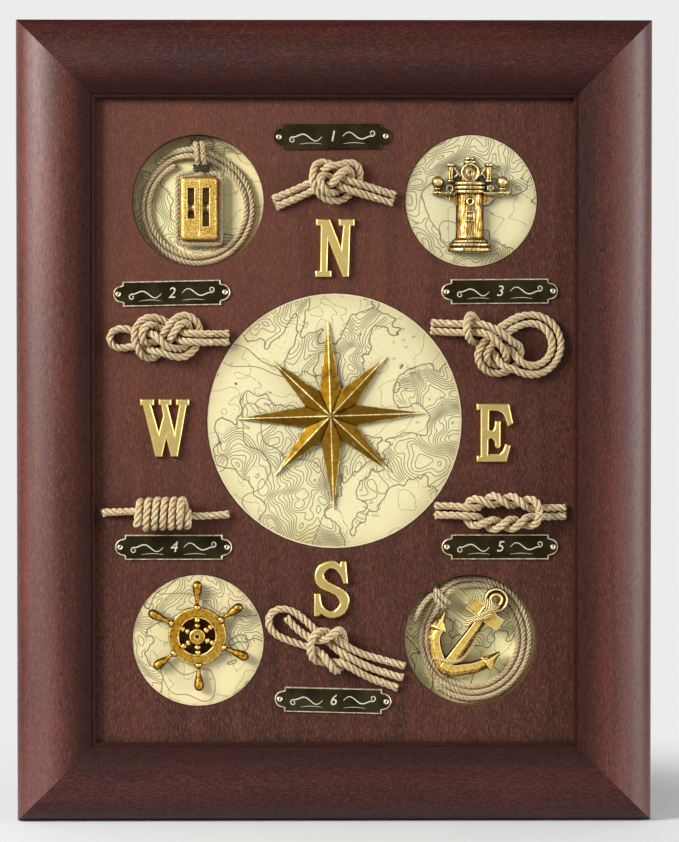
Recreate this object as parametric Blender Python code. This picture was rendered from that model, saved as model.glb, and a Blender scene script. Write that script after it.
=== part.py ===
"""A wall board of sailors' knots in a moulded mahogany frame.

The board is built face up, as on a bench: X runs to the right, Y up the board and Z out of its
face, with the rails' back at Z = 0. An empty named board_stand then stands it up, so that in the
world the face looks along -Y, +Z is up, and the origin is on the back of the top rail.
All lengths are in metres; outlines and rope routes are listed in millimetres.
"""

import math

import bmesh
import bpy
import numpy as np
from mathutils import Matrix, Vector

MM = 0.001

# Clearance between pieces that touch
FIT = 0.0003

# Frame rails
SIGHT_WIDTH = 0.300
SIGHT_HEIGHT = 0.404
RAIL_WIDTH = 0.050
RAIL_EDGE_HEIGHT = 0.0085
RAIL_CROWN_HEIGHT = 0.0265
RAIL_CROWN_INSET = 0.029
LIP_HEIGHT = 0.0205
LIP_WIDTH = 0.0028
LIP_STEP = 0.0009
RABBET_WIDTH = 0.008

# Boards stacked in the rabbet, back to front
BACK_THICKNESS = 0.0030
SPACER_THICKNESS = 0.0055
PANEL_THICKNESS = 0.0050

# Windows in the display panel
COMPASS_RADIUS = 0.080
WINDOW_RADIUS = 0.0412
WINDOW_EDGE_X = 0.0642
DISC_SET_BACK = 0.0006
CARD_THICKNESS = 0.0008

# Compass rose
ROSE_LONG_POINT = 0.0595
ROSE_SHORT_POINT = 0.0517
ROSE_VALLEY = 0.0172
ROSE_HEIGHT = 0.0080
ROSE_VALLEY_HEIGHT = 0.0022
ROSE_TIP_HEIGHT = 0.0013
ROSE_TURN = math.radians(1.75)

# Letters
LETTER_THICKNESS = 0.0030
LETTER_BEVEL = 0.0007
LETTER_HEIGHT = 0.0363

# Name plates
PLATE_HALF_LENGTH = 0.0306
PLATE_HALF_HEIGHT = 0.0079
PLATE_NOTCH = 0.0022
PLATE_EAR_RADIUS = 0.0053
PLATE_EAR_REACH = 0.0367
PLATE_THICKNESS = 0.0012
PLATE_BEVEL = 0.0003

# Rows: the side plates and knots stand by the compass, and what height is left is shared out
COLUMN_INSET = 0.046
SIDE_PLATE_OFFSET = 0.0800
SIDE_KNOT_OFFSET = 0.0530
TOP_BLOCK_HEIGHT = 0.0505
TOP_KNOT_DROP = 0.0286
BOTTOM_BLOCK_HEIGHT = 0.0549
BOTTOM_KNOT_RISE = 0.0341
WINDOW_SHARE = 0.285
LETTER_SHARE = 0.265
EDGE_SHARE = 0.45

# Ropes
KNOT_ROPE = 0.0045
KNOT_SPACING = 0.0052
KNOT_SEGMENT = 0.0046
COIL_ROPE = 0.0032
COIL_LIFT = 0.0040
BLOCK_COIL_RADIUS = 0.0345
BLOCK_COIL_PITCH = 0.0039
ANCHOR_COIL_RADIUS = 0.0382
ANCHOR_COIL_PITCH = 0.0040
ANCHOR_COIL_SQUASH = 0.95
WRAP_PITCH = 0.0038

# Ship's wheel
WHEEL_RIM_OUTER = 0.0181
WHEEL_RIM_INNER = 0.0113
WHEEL_RIM_THICKNESS = 0.0042
WHEEL_HUB_RADIUS = 0.0049
WHEEL_HUB_HEIGHT = 0.0066
WHEEL_TIP_RADIUS = 0.0345
WHEEL_HANDLE_RADIUS = 0.0031

# Where the wheel's handles point, in degrees turned left from straight up
WHEEL_TURNS = [0, -55, -113, -178, 126, 63]

# Pulley block
BLOCK_WIDTH = 0.0232
BLOCK_HEIGHT = 0.0400
BLOCK_DEPTH = 0.0095
BLOCK_RIGHT = 0.0007
BLOCK_DOWN = 0.0049
BLOCK_BEVEL = 0.0018
SLOT_WIDTH = 0.0042
SLOT_DEPTH = 0.0050
SHEAVE_RADIUS = 0.0036
STROP_ROPE = 0.0030

# Binnacle
BINNACLE_SCALE_DEPTH = 0.80

# Anchor
ANCHOR_TILT = math.radians(-36.2)
ANCHOR_SHANK_LENGTH = 0.0540
ANCHOR_SHANK_HALF = 0.0035
ANCHOR_ARM_HALF = 0.0034
ANCHOR_THICKNESS = 0.0046
ANCHOR_RING_RADIUS = 0.0055
ANCHOR_RING_HALF = 0.0027

# Hangers on the back of the side rails
HANGER_OFFSET = 0.0850
STRAP_WIDTH = 0.0090
STRAP_THICKNESS = 0.0012
STRAP_LENGTH = 0.0245
STRAP_SCREW_DROP = 0.0185
RING_WIRE = 0.0024
RING_INNER_WIDTH = 0.0120
RING_DROP = 0.0125

# Turn buttons that hold the boards in
BUTTON_OFFSET = 0.1350
BUTTON_REACH = 0.0190
BUTTON_WIDTH = 0.0090
BUTTON_THICKNESS = 0.0012
BUTTON_SCREW_INSET = 0.0085

# Screws
SCREW_SHANK = 0.0030
SCREW_LENGTH = 0.0110
SCREW_HEAD = 0.0066
SCREW_HEAD_HEIGHT = 0.0017

# Heights above the rails' back that follow from the stack
SPACER_LOW = BACK_THICKNESS + FIT
SPACER_TOP = SPACER_LOW + SPACER_THICKNESS
PANEL_LOW = SPACER_TOP + FIT
PANEL_TOP = PANEL_LOW + PANEL_THICKNESS
RABBET_DEPTH = PANEL_TOP + FIT
DISC_TOP = PANEL_TOP - DISC_SET_BACK
CARD_TOP = SPACER_LOW + CARD_THICKNESS

# Places on the board's face
BOARD_WIDTH = SIGHT_WIDTH + 2 * (RABBET_WIDTH - FIT)
BOARD_HEIGHT = SIGHT_HEIGHT + 2 * (RABBET_WIDTH - FIT)
WINDOW_X = SIGHT_WIDTH / 2 - WINDOW_EDGE_X
COLUMN_X = SIGHT_WIDTH / 2 - COLUMN_INSET
PLATE_TOP = SIDE_PLATE_OFFSET + PLATE_HALF_HEIGHT
SIDE_FREE = SIGHT_HEIGHT / 2 - PLATE_TOP - 2 * WINDOW_RADIUS
WINDOW_Y = PLATE_TOP + WINDOW_SHARE * SIDE_FREE + WINDOW_RADIUS
TOP_FREE = SIGHT_HEIGHT / 2 - COMPASS_RADIUS - LETTER_HEIGHT - TOP_BLOCK_HEIGHT
BOTTOM_FREE = SIGHT_HEIGHT / 2 - COMPASS_RADIUS - LETTER_HEIGHT - BOTTOM_BLOCK_HEIGHT
NORTH_Y = COMPASS_RADIUS + LETTER_SHARE * TOP_FREE + LETTER_HEIGHT / 2
SOUTH_Y = -COMPASS_RADIUS - LETTER_SHARE * BOTTOM_FREE - LETTER_HEIGHT / 2
TOP_PLATE_Y = SIGHT_HEIGHT / 2 - EDGE_SHARE * TOP_FREE - PLATE_HALF_HEIGHT
BOTTOM_PLATE_Y = EDGE_SHARE * BOTTOM_FREE + PLATE_HALF_HEIGHT - SIGHT_HEIGHT / 2
TOP_KNOT_Y = TOP_PLATE_Y - TOP_KNOT_DROP
BOTTOM_KNOT_Y = BOTTOM_PLATE_Y + BOTTOM_KNOT_RISE


def clear_scene():
    """Take away whatever the file opened with."""
    for obj in list(bpy.data.objects):
        bpy.data.objects.remove(obj)


def stand():
    """The empty that stands the finished board up with its origin on the top rail's back."""
    empty = bpy.data.objects.new("board_stand", None)
    bpy.context.collection.objects.link(empty)
    empty.rotation_euler = (math.pi / 2, 0.0, 0.0)
    empty.location = (0.0, 0.0, -(SIGHT_HEIGHT + RAIL_WIDTH) / 2)
    return empty


def linear(channel):
    """One channel of a colour as seen, from 0 to 255, as Blender's linear value."""
    value = channel / 255
    if value <= 0.04045:
        return value / 12.92
    return ((value + 0.055) / 1.055) ** 2.4


def finish(name, red, green, blue, roughness, metallic=0.0):
    """A material with the piece's colour, roughness and metallic value."""
    material = bpy.data.materials.new(name)
    material.use_nodes = True
    shader = material.node_tree.nodes["Principled BSDF"]
    colour = (linear(red), linear(green), linear(blue), 1.0)
    shader.inputs["Base Color"].default_value = colour
    shader.inputs["Roughness"].default_value = roughness
    shader.inputs["Metallic"].default_value = metallic
    return material


def place(name, data, material, at=(0.0, 0.0, 0.0), turn=0.0):
    """Put a mesh or curve on the board, turned in the plane of its face."""
    obj = bpy.data.objects.new(name, data)
    bpy.context.collection.objects.link(obj)
    obj.parent = bpy.data.objects["board_stand"]
    obj.location = at
    obj.rotation_euler = (0.0, 0.0, turn)
    data.materials.clear()
    data.materials.append(material)
    return obj


def mesh_of(shape, name, sharp_angle=35.0):
    """Turn a bmesh into a mesh, smooth on its round stretches and sharp at its edges."""
    bmesh.ops.recalc_face_normals(shape, faces=shape.faces)
    mesh = bpy.data.meshes.new(name)
    shape.to_mesh(mesh)
    shape.free()
    mesh.shade_smooth()
    mesh.set_sharp_from_angle(angle=math.radians(sharp_angle))
    return mesh


def prism(outline, low, high):
    """A bmesh of a flat outline raised from one height to another."""
    shape = bmesh.new()
    base = [shape.verts.new((x, y, low)) for x, y in outline]
    face = shape.faces.new(base)
    raised = bmesh.ops.extrude_face_region(shape, geom=[face])
    top = [item for item in raised["geom"] if isinstance(item, bmesh.types.BMVert)]
    bmesh.ops.translate(shape, verts=top, vec=(0.0, 0.0, high - low))
    return shape


def bevel_front(shape, height, width):
    """Bevel the edges of a shape that lie at one height all along."""
    front = []
    for edge in shape.edges:
        flat = all(abs(vert.co.z - height) < 1e-6 for vert in edge.verts)
        rim = any(abs(face.normal.z) < 0.5 for face in edge.link_faces)
        if flat and rim:
            front.append(edge)
    bmesh.ops.bevel(shape, geom=front, offset=width, segments=1, affect="EDGES", profile=0.5)


def disc_outline(radius, sides):
    """Points round a circle."""
    step = 2 * math.pi / sides
    return [(radius * math.cos(i * step), radius * math.sin(i * step)) for i in range(sides)]


def box_outline(width, height):
    """A rectangle about the origin."""
    x = width / 2
    y = height / 2
    return [(-x, -y), (x, -y), (x, y), (-x, y)]


def lathe(profile, sides, sweep=2 * math.pi, squash=1.0):
    """Turn a profile of (radius, height along Y) points about the Y axis.

    A half turn gives a casting with a flat back at Z = 0, and squash flattens its front.
    """
    shape = bmesh.new()
    whole = sweep > 1.99 * math.pi
    columns = sides if whole else sides + 1
    rings = []
    for radius, along in profile:
        if radius < 1e-7:
            rings.append([shape.verts.new((0.0, along, 0.0))] * columns)
            continue
        ring = []
        for i in range(columns):
            angle = sweep * i / sides
            x = radius * math.cos(angle)
            z = radius * math.sin(angle) * squash
            ring.append(shape.verts.new((x, along, z)))
        rings.append(ring)
    for lower, upper in zip(rings, rings[1:]):
        for i in range(sides):
            j = (i + 1) % columns
            corners = [lower[i], lower[j], upper[j], upper[i]]
            corners = list(dict.fromkeys(corners))
            if len(corners) > 2:
                shape.faces.new(corners)
    if whole:
        for ring in (rings[0], rings[-1]):
            if len(set(ring)) > 2:
                shape.faces.new(ring)
        return shape
    for lower, upper in zip(rings, rings[1:]):
        corners = list(dict.fromkeys([lower[0], upper[0], upper[-1], lower[-1]]))
        if len(corners) > 2:
            shape.faces.new(corners)
    for ring in (rings[0], rings[-1]):
        if len(set(ring)) > 2:
            shape.faces.new(ring)
    return shape


def swept_ring(section, radius, sides):
    """Carry a closed section of (outward, height) points round a circle about Z."""
    shape = bmesh.new()
    rings = []
    for i in range(sides):
        angle = 2 * math.pi * i / sides
        ring = []
        for outward, height in section:
            reach = radius + outward
            ring.append(shape.verts.new((reach * math.cos(angle), reach * math.sin(angle), height)))
        rings.append(ring)
    count = len(section)
    for i in range(sides):
        here = rings[i]
        there = rings[(i + 1) % sides]
        for k in range(count):
            m = (k + 1) % count
            shape.faces.new([here[k], there[k], there[m], here[m]])
    return shape


def ridged_bar(stations):
    """A cast bar through stations of (x, y, half width, edge height, ridge height)."""
    shape = bmesh.new()
    rings = []
    last = len(stations) - 1
    for i, (x, y, half, edge, ridge) in enumerate(stations):
        ahead = stations[min(i + 1, last)]
        behind = stations[max(i - 1, 0)]
        along = Vector((ahead[0] - behind[0], ahead[1] - behind[1])).normalized()
        side = Vector((-along.y, along.x)) * half
        left = (x + side.x, y + side.y)
        right = (x - side.x, y - side.y)
        corners = [(*left, 0.0), (*left, edge), (x, y, ridge), (*right, edge), (*right, 0.0)]
        rings.append([shape.verts.new(corner) for corner in corners])
    for here, there in zip(rings, rings[1:]):
        for k in range(5):
            m = (k + 1) % 5
            shape.faces.new([here[k], there[k], there[m], here[m]])
    shape.faces.new(rings[0])
    shape.faces.new(rings[-1])
    return shape


def round_bar(points, radius, sides, closed=False):
    """A round bar as a mesh along a few points, for castings that are joined solid."""
    shape = bmesh.new()
    path = [Vector(point) for point in points]
    count = len(path)
    rings = []
    for i, point in enumerate(path):
        if closed:
            along = path[(i + 1) % count] - path[i - 1]
        else:
            along = path[min(i + 1, count - 1)] - path[max(i - 1, 0)]
        across = along.cross(Vector((0.0, 0.0, 1.0)))
        if across.length < 1e-9:
            across = Vector((1.0, 0.0, 0.0))
        across.normalize()
        other = along.cross(across).normalized()
        ring = []
        for k in range(sides):
            angle = 2 * math.pi * k / sides
            offset = across * math.cos(angle) + other * math.sin(angle)
            ring.append(shape.verts.new(point + offset * radius))
        rings.append(ring)
    pairs = list(zip(rings, rings[1:]))
    if closed:
        pairs.append((rings[-1], rings[0]))
    for here, there in pairs:
        for k in range(sides):
            m = (k + 1) % sides
            shape.faces.new([here[k], there[k], there[m], here[m]])
    if not closed:
        shape.faces.new(rings[0])
        shape.faces.new(rings[-1])
    return shape


def moved(shape, x=0.0, y=0.0, z=0.0, turn=0.0):
    """Turn a bmesh in the plane of the board and then move it."""
    matrix = Matrix.Translation((x, y, z)) @ Matrix.Rotation(turn, 4, "Z")
    bmesh.ops.transform(shape, matrix=matrix, verts=shape.verts)
    return shape


def tool(shape, name="tool"):
    """A loose object for a Boolean, hidden from the finished part."""
    obj = bpy.data.objects.new(name, mesh_of(shape, name))
    bpy.context.collection.objects.link(obj)
    obj.display_type = "WIRE"
    obj.hide_render = True
    return obj


def combined(base, others, operation):
    """A base joined with, or cut by, other shapes one after the other."""
    for other in others:
        work = tool(base, "work")
        cutter = tool(other)
        step = work.modifiers.new("step", "BOOLEAN")
        step.operation = operation
        step.solver = "EXACT"
        step.object = cutter
        graph = bpy.context.evaluated_depsgraph_get()
        mesh = bpy.data.meshes.new_from_object(work.evaluated_get(graph))
        bpy.data.objects.remove(work)
        bpy.data.objects.remove(cutter)
        base = bmesh.new()
        base.from_mesh(mesh)
        bmesh.ops.remove_doubles(base, verts=base.verts, dist=0.000002)
        bmesh.ops.dissolve_degenerate(base, dist=0.000002, edges=base.edges)
    return base


def cylinder(radius, low, high, sides):
    """An upright cylinder about the origin."""
    return prism(disc_outline(radius, sides), low, high)


def bore(x, y, radius, low, high, sides):
    """A cylinder to cut a round hole with, its flats clear of the radius."""
    reach = radius / math.cos(math.pi / sides)
    return moved(cylinder(reach, low, high, sides), x, y)


# Frame


def rail_profile():
    """Half section of the moulding: distance in from the outer edge, and height."""
    points = [(0.0, 0.0), (0.0, RAIL_EDGE_HEIGHT)]
    rise = RAIL_CROWN_HEIGHT - RAIL_EDGE_HEIGHT
    for i in range(1, 7):
        angle = math.pi / 2 * i / 6
        inward = RAIL_CROWN_INSET * (1 - math.cos(angle))
        points.append((inward, RAIL_EDGE_HEIGHT + rise * math.sin(angle)))
    inner = RAIL_WIDTH - LIP_WIDTH
    fall = RAIL_CROWN_HEIGHT - LIP_HEIGHT
    for i in range(1, 5):
        share = i / 4
        inward = RAIL_CROWN_INSET + (inner - RAIL_CROWN_INSET) * share
        points.append((inward, RAIL_CROWN_HEIGHT - fall * share ** 2))
    points.append((inner, LIP_HEIGHT - LIP_STEP))
    points.append((RAIL_WIDTH - LIP_WIDTH / 4, LIP_HEIGHT - LIP_STEP))
    points.append((RAIL_WIDTH, LIP_HEIGHT - LIP_STEP - LIP_WIDTH / 4))
    points.append((RAIL_WIDTH, RABBET_DEPTH))
    points.append((RAIL_WIDTH - RABBET_WIDTH, RABBET_DEPTH))
    points.append((RAIL_WIDTH - RABBET_WIDTH, 0.0))
    return points


def rail(length, sight):
    """One mitred rail lying along X, its outer edge down at Y = -(sight / 2 + its width)."""
    shape = bmesh.new()
    ends = []
    for side in (-1, 1):
        ring = []
        for inward, height in rail_profile():
            x = side * (length / 2 + RAIL_WIDTH - inward - FIT)
            ring.append(shape.verts.new((x, -(sight / 2 + RAIL_WIDTH - inward), height)))
        ends.append(ring)
    count = len(ends[0])
    for k in range(count):
        m = (k + 1) % count
        shape.faces.new([ends[0][k], ends[1][k], ends[1][m], ends[0][m]])
    shape.faces.new(ends[0])
    shape.faces.new(ends[1])
    return shape


def pilot_bores(side):
    """Screw holes in the back of one side rail, for its hanger and its two turn buttons."""
    hole = SCREW_SHANK / 2 + FIT
    deep = SCREW_LENGTH + 0.001
    spots = [(hanger_x(side), HANGER_OFFSET - STRAP_SCREW_DROP)]
    spots += [(button_x(side), BUTTON_OFFSET), (button_x(side), -BUTTON_OFFSET)]
    return [bore(x, y, hole, -0.001, deep, 12) for x, y in spots]


def hanger_x(side):
    """The hangers stand on the middle of the side rails' flat backs."""
    return side * (SIGHT_WIDTH / 2 + (RAIL_WIDTH + RABBET_WIDTH) / 2)


def button_x(side):
    """The turn buttons' screws stand beside the rabbet."""
    return side * (SIGHT_WIDTH / 2 + RABBET_WIDTH + BUTTON_SCREW_INSET)


def make_frame(wood):
    """Four mitred rails of one cushion moulding."""
    for name, turn in (("frame_bottom_rail", 0.0), ("frame_top_rail", math.pi)):
        shape = moved(rail(SIGHT_WIDTH, SIGHT_HEIGHT), turn=turn)
        place(name, mesh_of(shape, name), wood)
    for name, side in (("frame_left_rail", -1), ("frame_right_rail", 1)):
        shape = moved(rail(SIGHT_HEIGHT, SIGHT_WIDTH), turn=side * math.pi / 2)
        shape = combined(shape, pilot_bores(side), "DIFFERENCE")
        place(name, mesh_of(shape, name), wood)


# Boards


def window_places():
    """Centres of the four small windows: upper left, upper right, lower left, lower right."""
    return {
        "block": (-WINDOW_X, WINDOW_Y),
        "binnacle": (WINDOW_X, WINDOW_Y),
        "wheel": (-WINDOW_X, -WINDOW_Y),
        "anchor": (WINDOW_X, -WINDOW_Y),
    }


def make_boards(mahogany, hardboard):
    """The veneered panel with its windows, the spacer behind it and the back board."""
    places = window_places()
    sheet = box_outline(BOARD_WIDTH, BOARD_HEIGHT)
    under = PANEL_LOW - 0.001
    over = PANEL_TOP + 0.001
    holes = [bore(0.0, 0.0, COMPASS_RADIUS + FIT, under, over, 64)]
    for x, y in places.values():
        holes.append(bore(x, y, WINDOW_RADIUS + FIT, under, over, 48))
    panel = combined(prism(sheet, PANEL_LOW, PANEL_TOP), holes, "DIFFERENCE")
    place("display_panel", mesh_of(panel, "display_panel"), mahogany)

    wells = []
    for name in ("block", "anchor"):
        x, y = places[name]
        wells.append(bore(x, y, WINDOW_RADIUS + FIT, SPACER_LOW - 0.001, SPACER_TOP + 0.001, 48))
    spacer = combined(prism(sheet, SPACER_LOW, SPACER_TOP), wells, "DIFFERENCE")
    place("spacer_board", mesh_of(spacer, "spacer_board"), hardboard)

    back = prism(sheet, 0.0, BACK_THICKNESS)
    place("back_board", mesh_of(back, "back_board"), hardboard)


def make_charts(paper):
    """Chart discs let in flush in three windows, and chart cards at the bottom of two wells."""
    disc = prism(disc_outline(COMPASS_RADIUS, 64), PANEL_LOW, DISC_TOP)
    place("compass_chart_disc", mesh_of(disc, "compass_chart_disc"), paper)
    for name in ("binnacle", "wheel"):
        label = name + "_chart_disc"
        disc = prism(disc_outline(WINDOW_RADIUS, 48), PANEL_LOW, DISC_TOP)
        place(label, mesh_of(disc, label), paper, at=(*window_places()[name], 0.0))
    for name in ("block", "anchor"):
        label = name + "_chart_card"
        card = prism(disc_outline(WINDOW_RADIUS, 48), SPACER_LOW, CARD_TOP)
        place(label, mesh_of(card, label), paper, at=(*window_places()[name], 0.0))


# Compass rose


def make_rose(brass):
    """An eight-pointed star, its points ridged from a raised centre and the valleys folded in."""
    shape = bmesh.new()
    low = []
    rim = []
    for i in range(16):
        angle = math.pi / 2 + ROSE_TURN + i * math.pi / 8
        if i % 2:
            reach = ROSE_VALLEY
            height = ROSE_VALLEY_HEIGHT
        else:
            reach = ROSE_SHORT_POINT if i % 4 else ROSE_LONG_POINT
            height = ROSE_TIP_HEIGHT
        x = reach * math.cos(angle)
        y = reach * math.sin(angle)
        low.append(shape.verts.new((x, y, 0.0)))
        rim.append(shape.verts.new((x, y, height)))
    peak = shape.verts.new((0.0, 0.0, ROSE_HEIGHT))
    for i in range(16):
        j = (i + 1) % 16
        shape.faces.new([low[i], low[j], rim[j], rim[i]])
        shape.faces.new([rim[i], rim[j], peak])
    shape.faces.new(low)
    place("compass_rose", mesh_of(shape, "compass_rose", 5.0), brass,
          at=(-0.0024, 0.0031, DISC_TOP + FIT))


# Letters, as outlines in millimetres about the letter's middle; s marks a smooth point

LETTER_N = [
    (-11.8, 18.1), (-3.1, 18.1), (3.9, 0.2), (5.3, 13.8), (2.5, 13.8), (2.5, 18.1),
    (12.3, 18.1), (12.3, 13.8), (9.7, 13.8), (8.8, -18.1), (5.0, -18.1), (-4.1, 4.8),
    (-4.8, -14.2), (-2.2, -14.2), (-2.2, -18.1), (-12.3, -18.1), (-12.3, -14.2),
    (-9.2, -14.2), (-8.8, 14.0), (-11.8, 14.0),
]

LETTER_W = [
    (-15.4, 18.2), (-6.6, 18.2), (-6.6, 14.3), (-8.4, 14.3), (-3.6, -2.6), (-1.0, 7.7),
    (-2.2, 14.4), (-3.7, 14.4), (-3.7, 18.2), (4.2, 18.2), (4.2, 14.4), (2.0, 14.4),
    (6.2, -2.6), (9.2, 14.3), (7.2, 14.3), (7.2, 18.2), (15.4, 18.2), (15.4, 14.3),
    (13.8, 14.3), (8.2, -18.0), (3.9, -18.0), (1.0, -6.2), (-1.6, -18.0), (-5.9, -18.0),
    (-13.7, 14.3), (-15.4, 14.3),
]

LETTER_E = [
    (-11.5, 18.3), (8.8, 18.3), (11.5, 6.0), (8.0, 4.0), (6.3, 9.6, "s"), (4.4, 12.6, "s"),
    (0.6, 13.9, "s"), (-3.6, 13.9), (-3.8, 2.4), (-2.1, 1.4, "s"), (-0.5, 2.8, "s"),
    (0.0, 7.4), (3.5, 7.4), (3.5, -8.4), (1.8, -9.8, "s"), (0.0, -8.4), (-0.3, -5.4, "s"),
    (-2.4, -3.2, "s"), (-4.1, -4.3), (-4.3, -13.4), (2.6, -13.4), (5.2, -11.0, "s"),
    (6.4, -6.9), (9.9, -8.1), (7.2, -18.3), (-11.5, -18.3), (-11.5, -14.4), (-9.0, -14.4),
    (-9.0, 14.3), (-11.5, 14.3),
]

LETTER_S = [
    (-0.7, 18.2, "s"), (2.9, 17.4, "s"), (5.2, 15.6), (5.9, 17.8), (9.0, 17.8),
    (10.3, 3.8), (7.4, 3.8), (6.0, 8.0, "s"), (2.9, 12.2, "s"), (-1.5, 13.4, "s"),
    (-5.0, 9.2, "s"), (-2.4, 5.0, "s"), (6.6, 0.4, "s"), (10.4, -3.4, "s"),
    (11.1, -7.9, "s"), (8.4, -14.8, "s"), (1.8, -18.2, "s"), (-3.3, -17.4, "s"),
    (-6.5, -15.2), (-7.9, -16.9), (-11.1, -16.9), (-11.1, -2.6), (-7.3, -2.6),
    (-6.2, -9.2, "s"), (-2.8, -13.0, "s"), (1.5, -13.3, "s"), (5.2, -8.9, "s"),
    (2.4, -3.5, "s"), (-5.1, 0.0, "s"), (-9.7, 3.6, "s"), (-10.7, 9.0, "s"),
    (-8.2, 15.2, "s"),
]


def between(a, b, c, d, share):
    """A point between b and c on the smooth curve that also passes a and d."""
    square = share * share
    cube = square * share
    return 0.5 * (2 * b + (c - a) * share + (2 * a - 5 * b + 4 * c - d) * square
                  + (3 * b - a - 3 * c + d) * cube)


def smoothed(outline):
    """Corners stay sharp, and a span with a smooth point at either end gets a curved middle."""
    spots = [Vector(point[:2]) * MM for point in outline]
    soft = [len(point) > 2 for point in outline]
    count = len(spots)
    result = []
    for i in range(count):
        j = (i + 1) % count
        result.append(tuple(spots[i]))
        if not (soft[i] or soft[j]):
            continue
        before = spots[i - 1] if soft[i] else spots[i]
        after = spots[(j + 1) % count] if soft[j] else spots[j]
        result.append(tuple(between(before, spots[i], spots[j], after, 0.5)))
    return result


def make_letters(brass):
    """The four compass letters, cut from plate with a bevelled edge."""
    low = PANEL_TOP + FIT
    high = low + LETTER_THICKNESS
    letters = {
        "letter_north": (LETTER_N, 0.0002, NORTH_Y + 0.0010),
        "letter_south": (LETTER_S, -0.0018, SOUTH_Y + 0.0003),
        "letter_west": (LETTER_W, -COLUMN_X - 0.0026, -0.0045),
        "letter_east": (LETTER_E, COLUMN_X - 0.0032, -0.0075),
    }
    for name, (outline, x, y) in letters.items():
        shape = prism(smoothed(outline), low, high)
        bevel_front(shape, high, LETTER_BEVEL)
        place(name, mesh_of(shape, name, 25.0), brass, at=(x, y, 0.0))


# Name plates


def plate_outline():
    """A long plate with a notch at each corner and a round ear at each end."""
    x = PLATE_HALF_LENGTH
    y = PLATE_HALF_HEIGHT
    notch = PLATE_NOTCH
    ear = PLATE_EAR_RADIUS
    centre = PLATE_EAR_REACH - ear
    quarter = [(-x, y), (x, y), (x, y - notch)]
    points = list(quarter)
    for i in range(9):
        angle = math.pi / 2 - math.pi * i / 8
        points.append((centre + ear * math.cos(angle), ear * math.sin(angle)))
    points += [(x, notch - y), (x, -y), (-x, -y), (-x, notch - y)]
    for i in range(9):
        angle = -math.pi / 2 - math.pi * i / 8
        points.append((-centre + ear * math.cos(angle), ear * math.sin(angle)))
    points.append((-x, y - notch))
    return points[::-1]


def make_plates(brass):
    """Six plates, each set by hand beside its knot."""
    low = PANEL_TOP + FIT
    high = low + PLATE_THICKNESS
    plates = {
        "plate_top": (-0.0014, TOP_PLATE_Y, 0.5),
        "plate_upper_left": (-COLUMN_X + 0.0019, SIDE_PLATE_OFFSET + 0.0001, 1.2),
        "plate_upper_right": (COLUMN_X - 0.0002, SIDE_PLATE_OFFSET + 0.0013, 0.4),
        "plate_lower_left": (-COLUMN_X + 0.0029, -SIDE_PLATE_OFFSET + 0.0006, 0.0),
        "plate_lower_right": (COLUMN_X + 0.0001, -SIDE_PLATE_OFFSET + 0.0007, 0.0),
        "plate_bottom": (-0.0009, BOTTOM_PLATE_Y + 0.0043, -1.5),
    }
    for name, (x, y, tilt) in plates.items():
        shape = prism(plate_outline(), low, high)
        bevel_front(shape, high, PLATE_BEVEL)
        place(name, mesh_of(shape, name, 25.0), brass, at=(x, y, 0.0), turn=math.radians(tilt))


# Ropes


def resampled(points, step):
    """Points at even steps along a path."""
    lengths = np.linalg.norm(np.diff(points, axis=0), axis=1)
    along = np.concatenate([[0.0], np.cumsum(lengths)])
    count = max(2, int(round(along[-1] / step)) + 1)
    wanted = np.linspace(0.0, along[-1], count)
    return np.stack([np.interp(wanted, along, points[:, axis]) for axis in range(3)], axis=1)


def curve_through(route, step):
    """Even points on a smooth curve through a route's own points."""
    spots = np.array(route, dtype=float)
    spots = np.concatenate([[2 * spots[0] - spots[1]], spots, [2 * spots[-1] - spots[-2]]])
    fine = []
    for a, b, c, d in zip(spots, spots[1:], spots[2:], spots[3:]):
        for share in np.arange(0.0, 1.0, 0.1):
            fine.append(between(a, b, c, d, share))
    fine.append(spots[-2])
    return resampled(np.array(fine), step)


def beside(path, offset):
    """The path shifted to its left in the plane of the board."""
    along = np.gradient(path, axis=0)
    side = np.stack([-along[:, 1], along[:, 0]], axis=1)
    side /= np.linalg.norm(side, axis=1)[:, None]
    shifted = path.copy()
    shifted[:, :2] += side * offset
    return shifted


def far_pairs(counts, skip):
    """Index pairs of points on different strands, or more than a skip apart along one."""
    owner = np.repeat(np.arange(len(counts)), counts)
    first, second = np.triu_indices(len(owner), 1)
    apart = (owner[first] != owner[second]) | (second - first > skip)
    return first[apart], second[apart]


def least_gap(strands, diameter):
    """The least gap between the strands of one knot or coil."""
    fine = [resampled(np.array(strand), diameter / 8) for strand in strands]
    first, second = far_pairs([len(strand) for strand in fine], 17)
    points = np.concatenate(fine)
    distance = np.linalg.norm(points[second] - points[first], axis=1)
    return distance.min() - diameter


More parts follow.
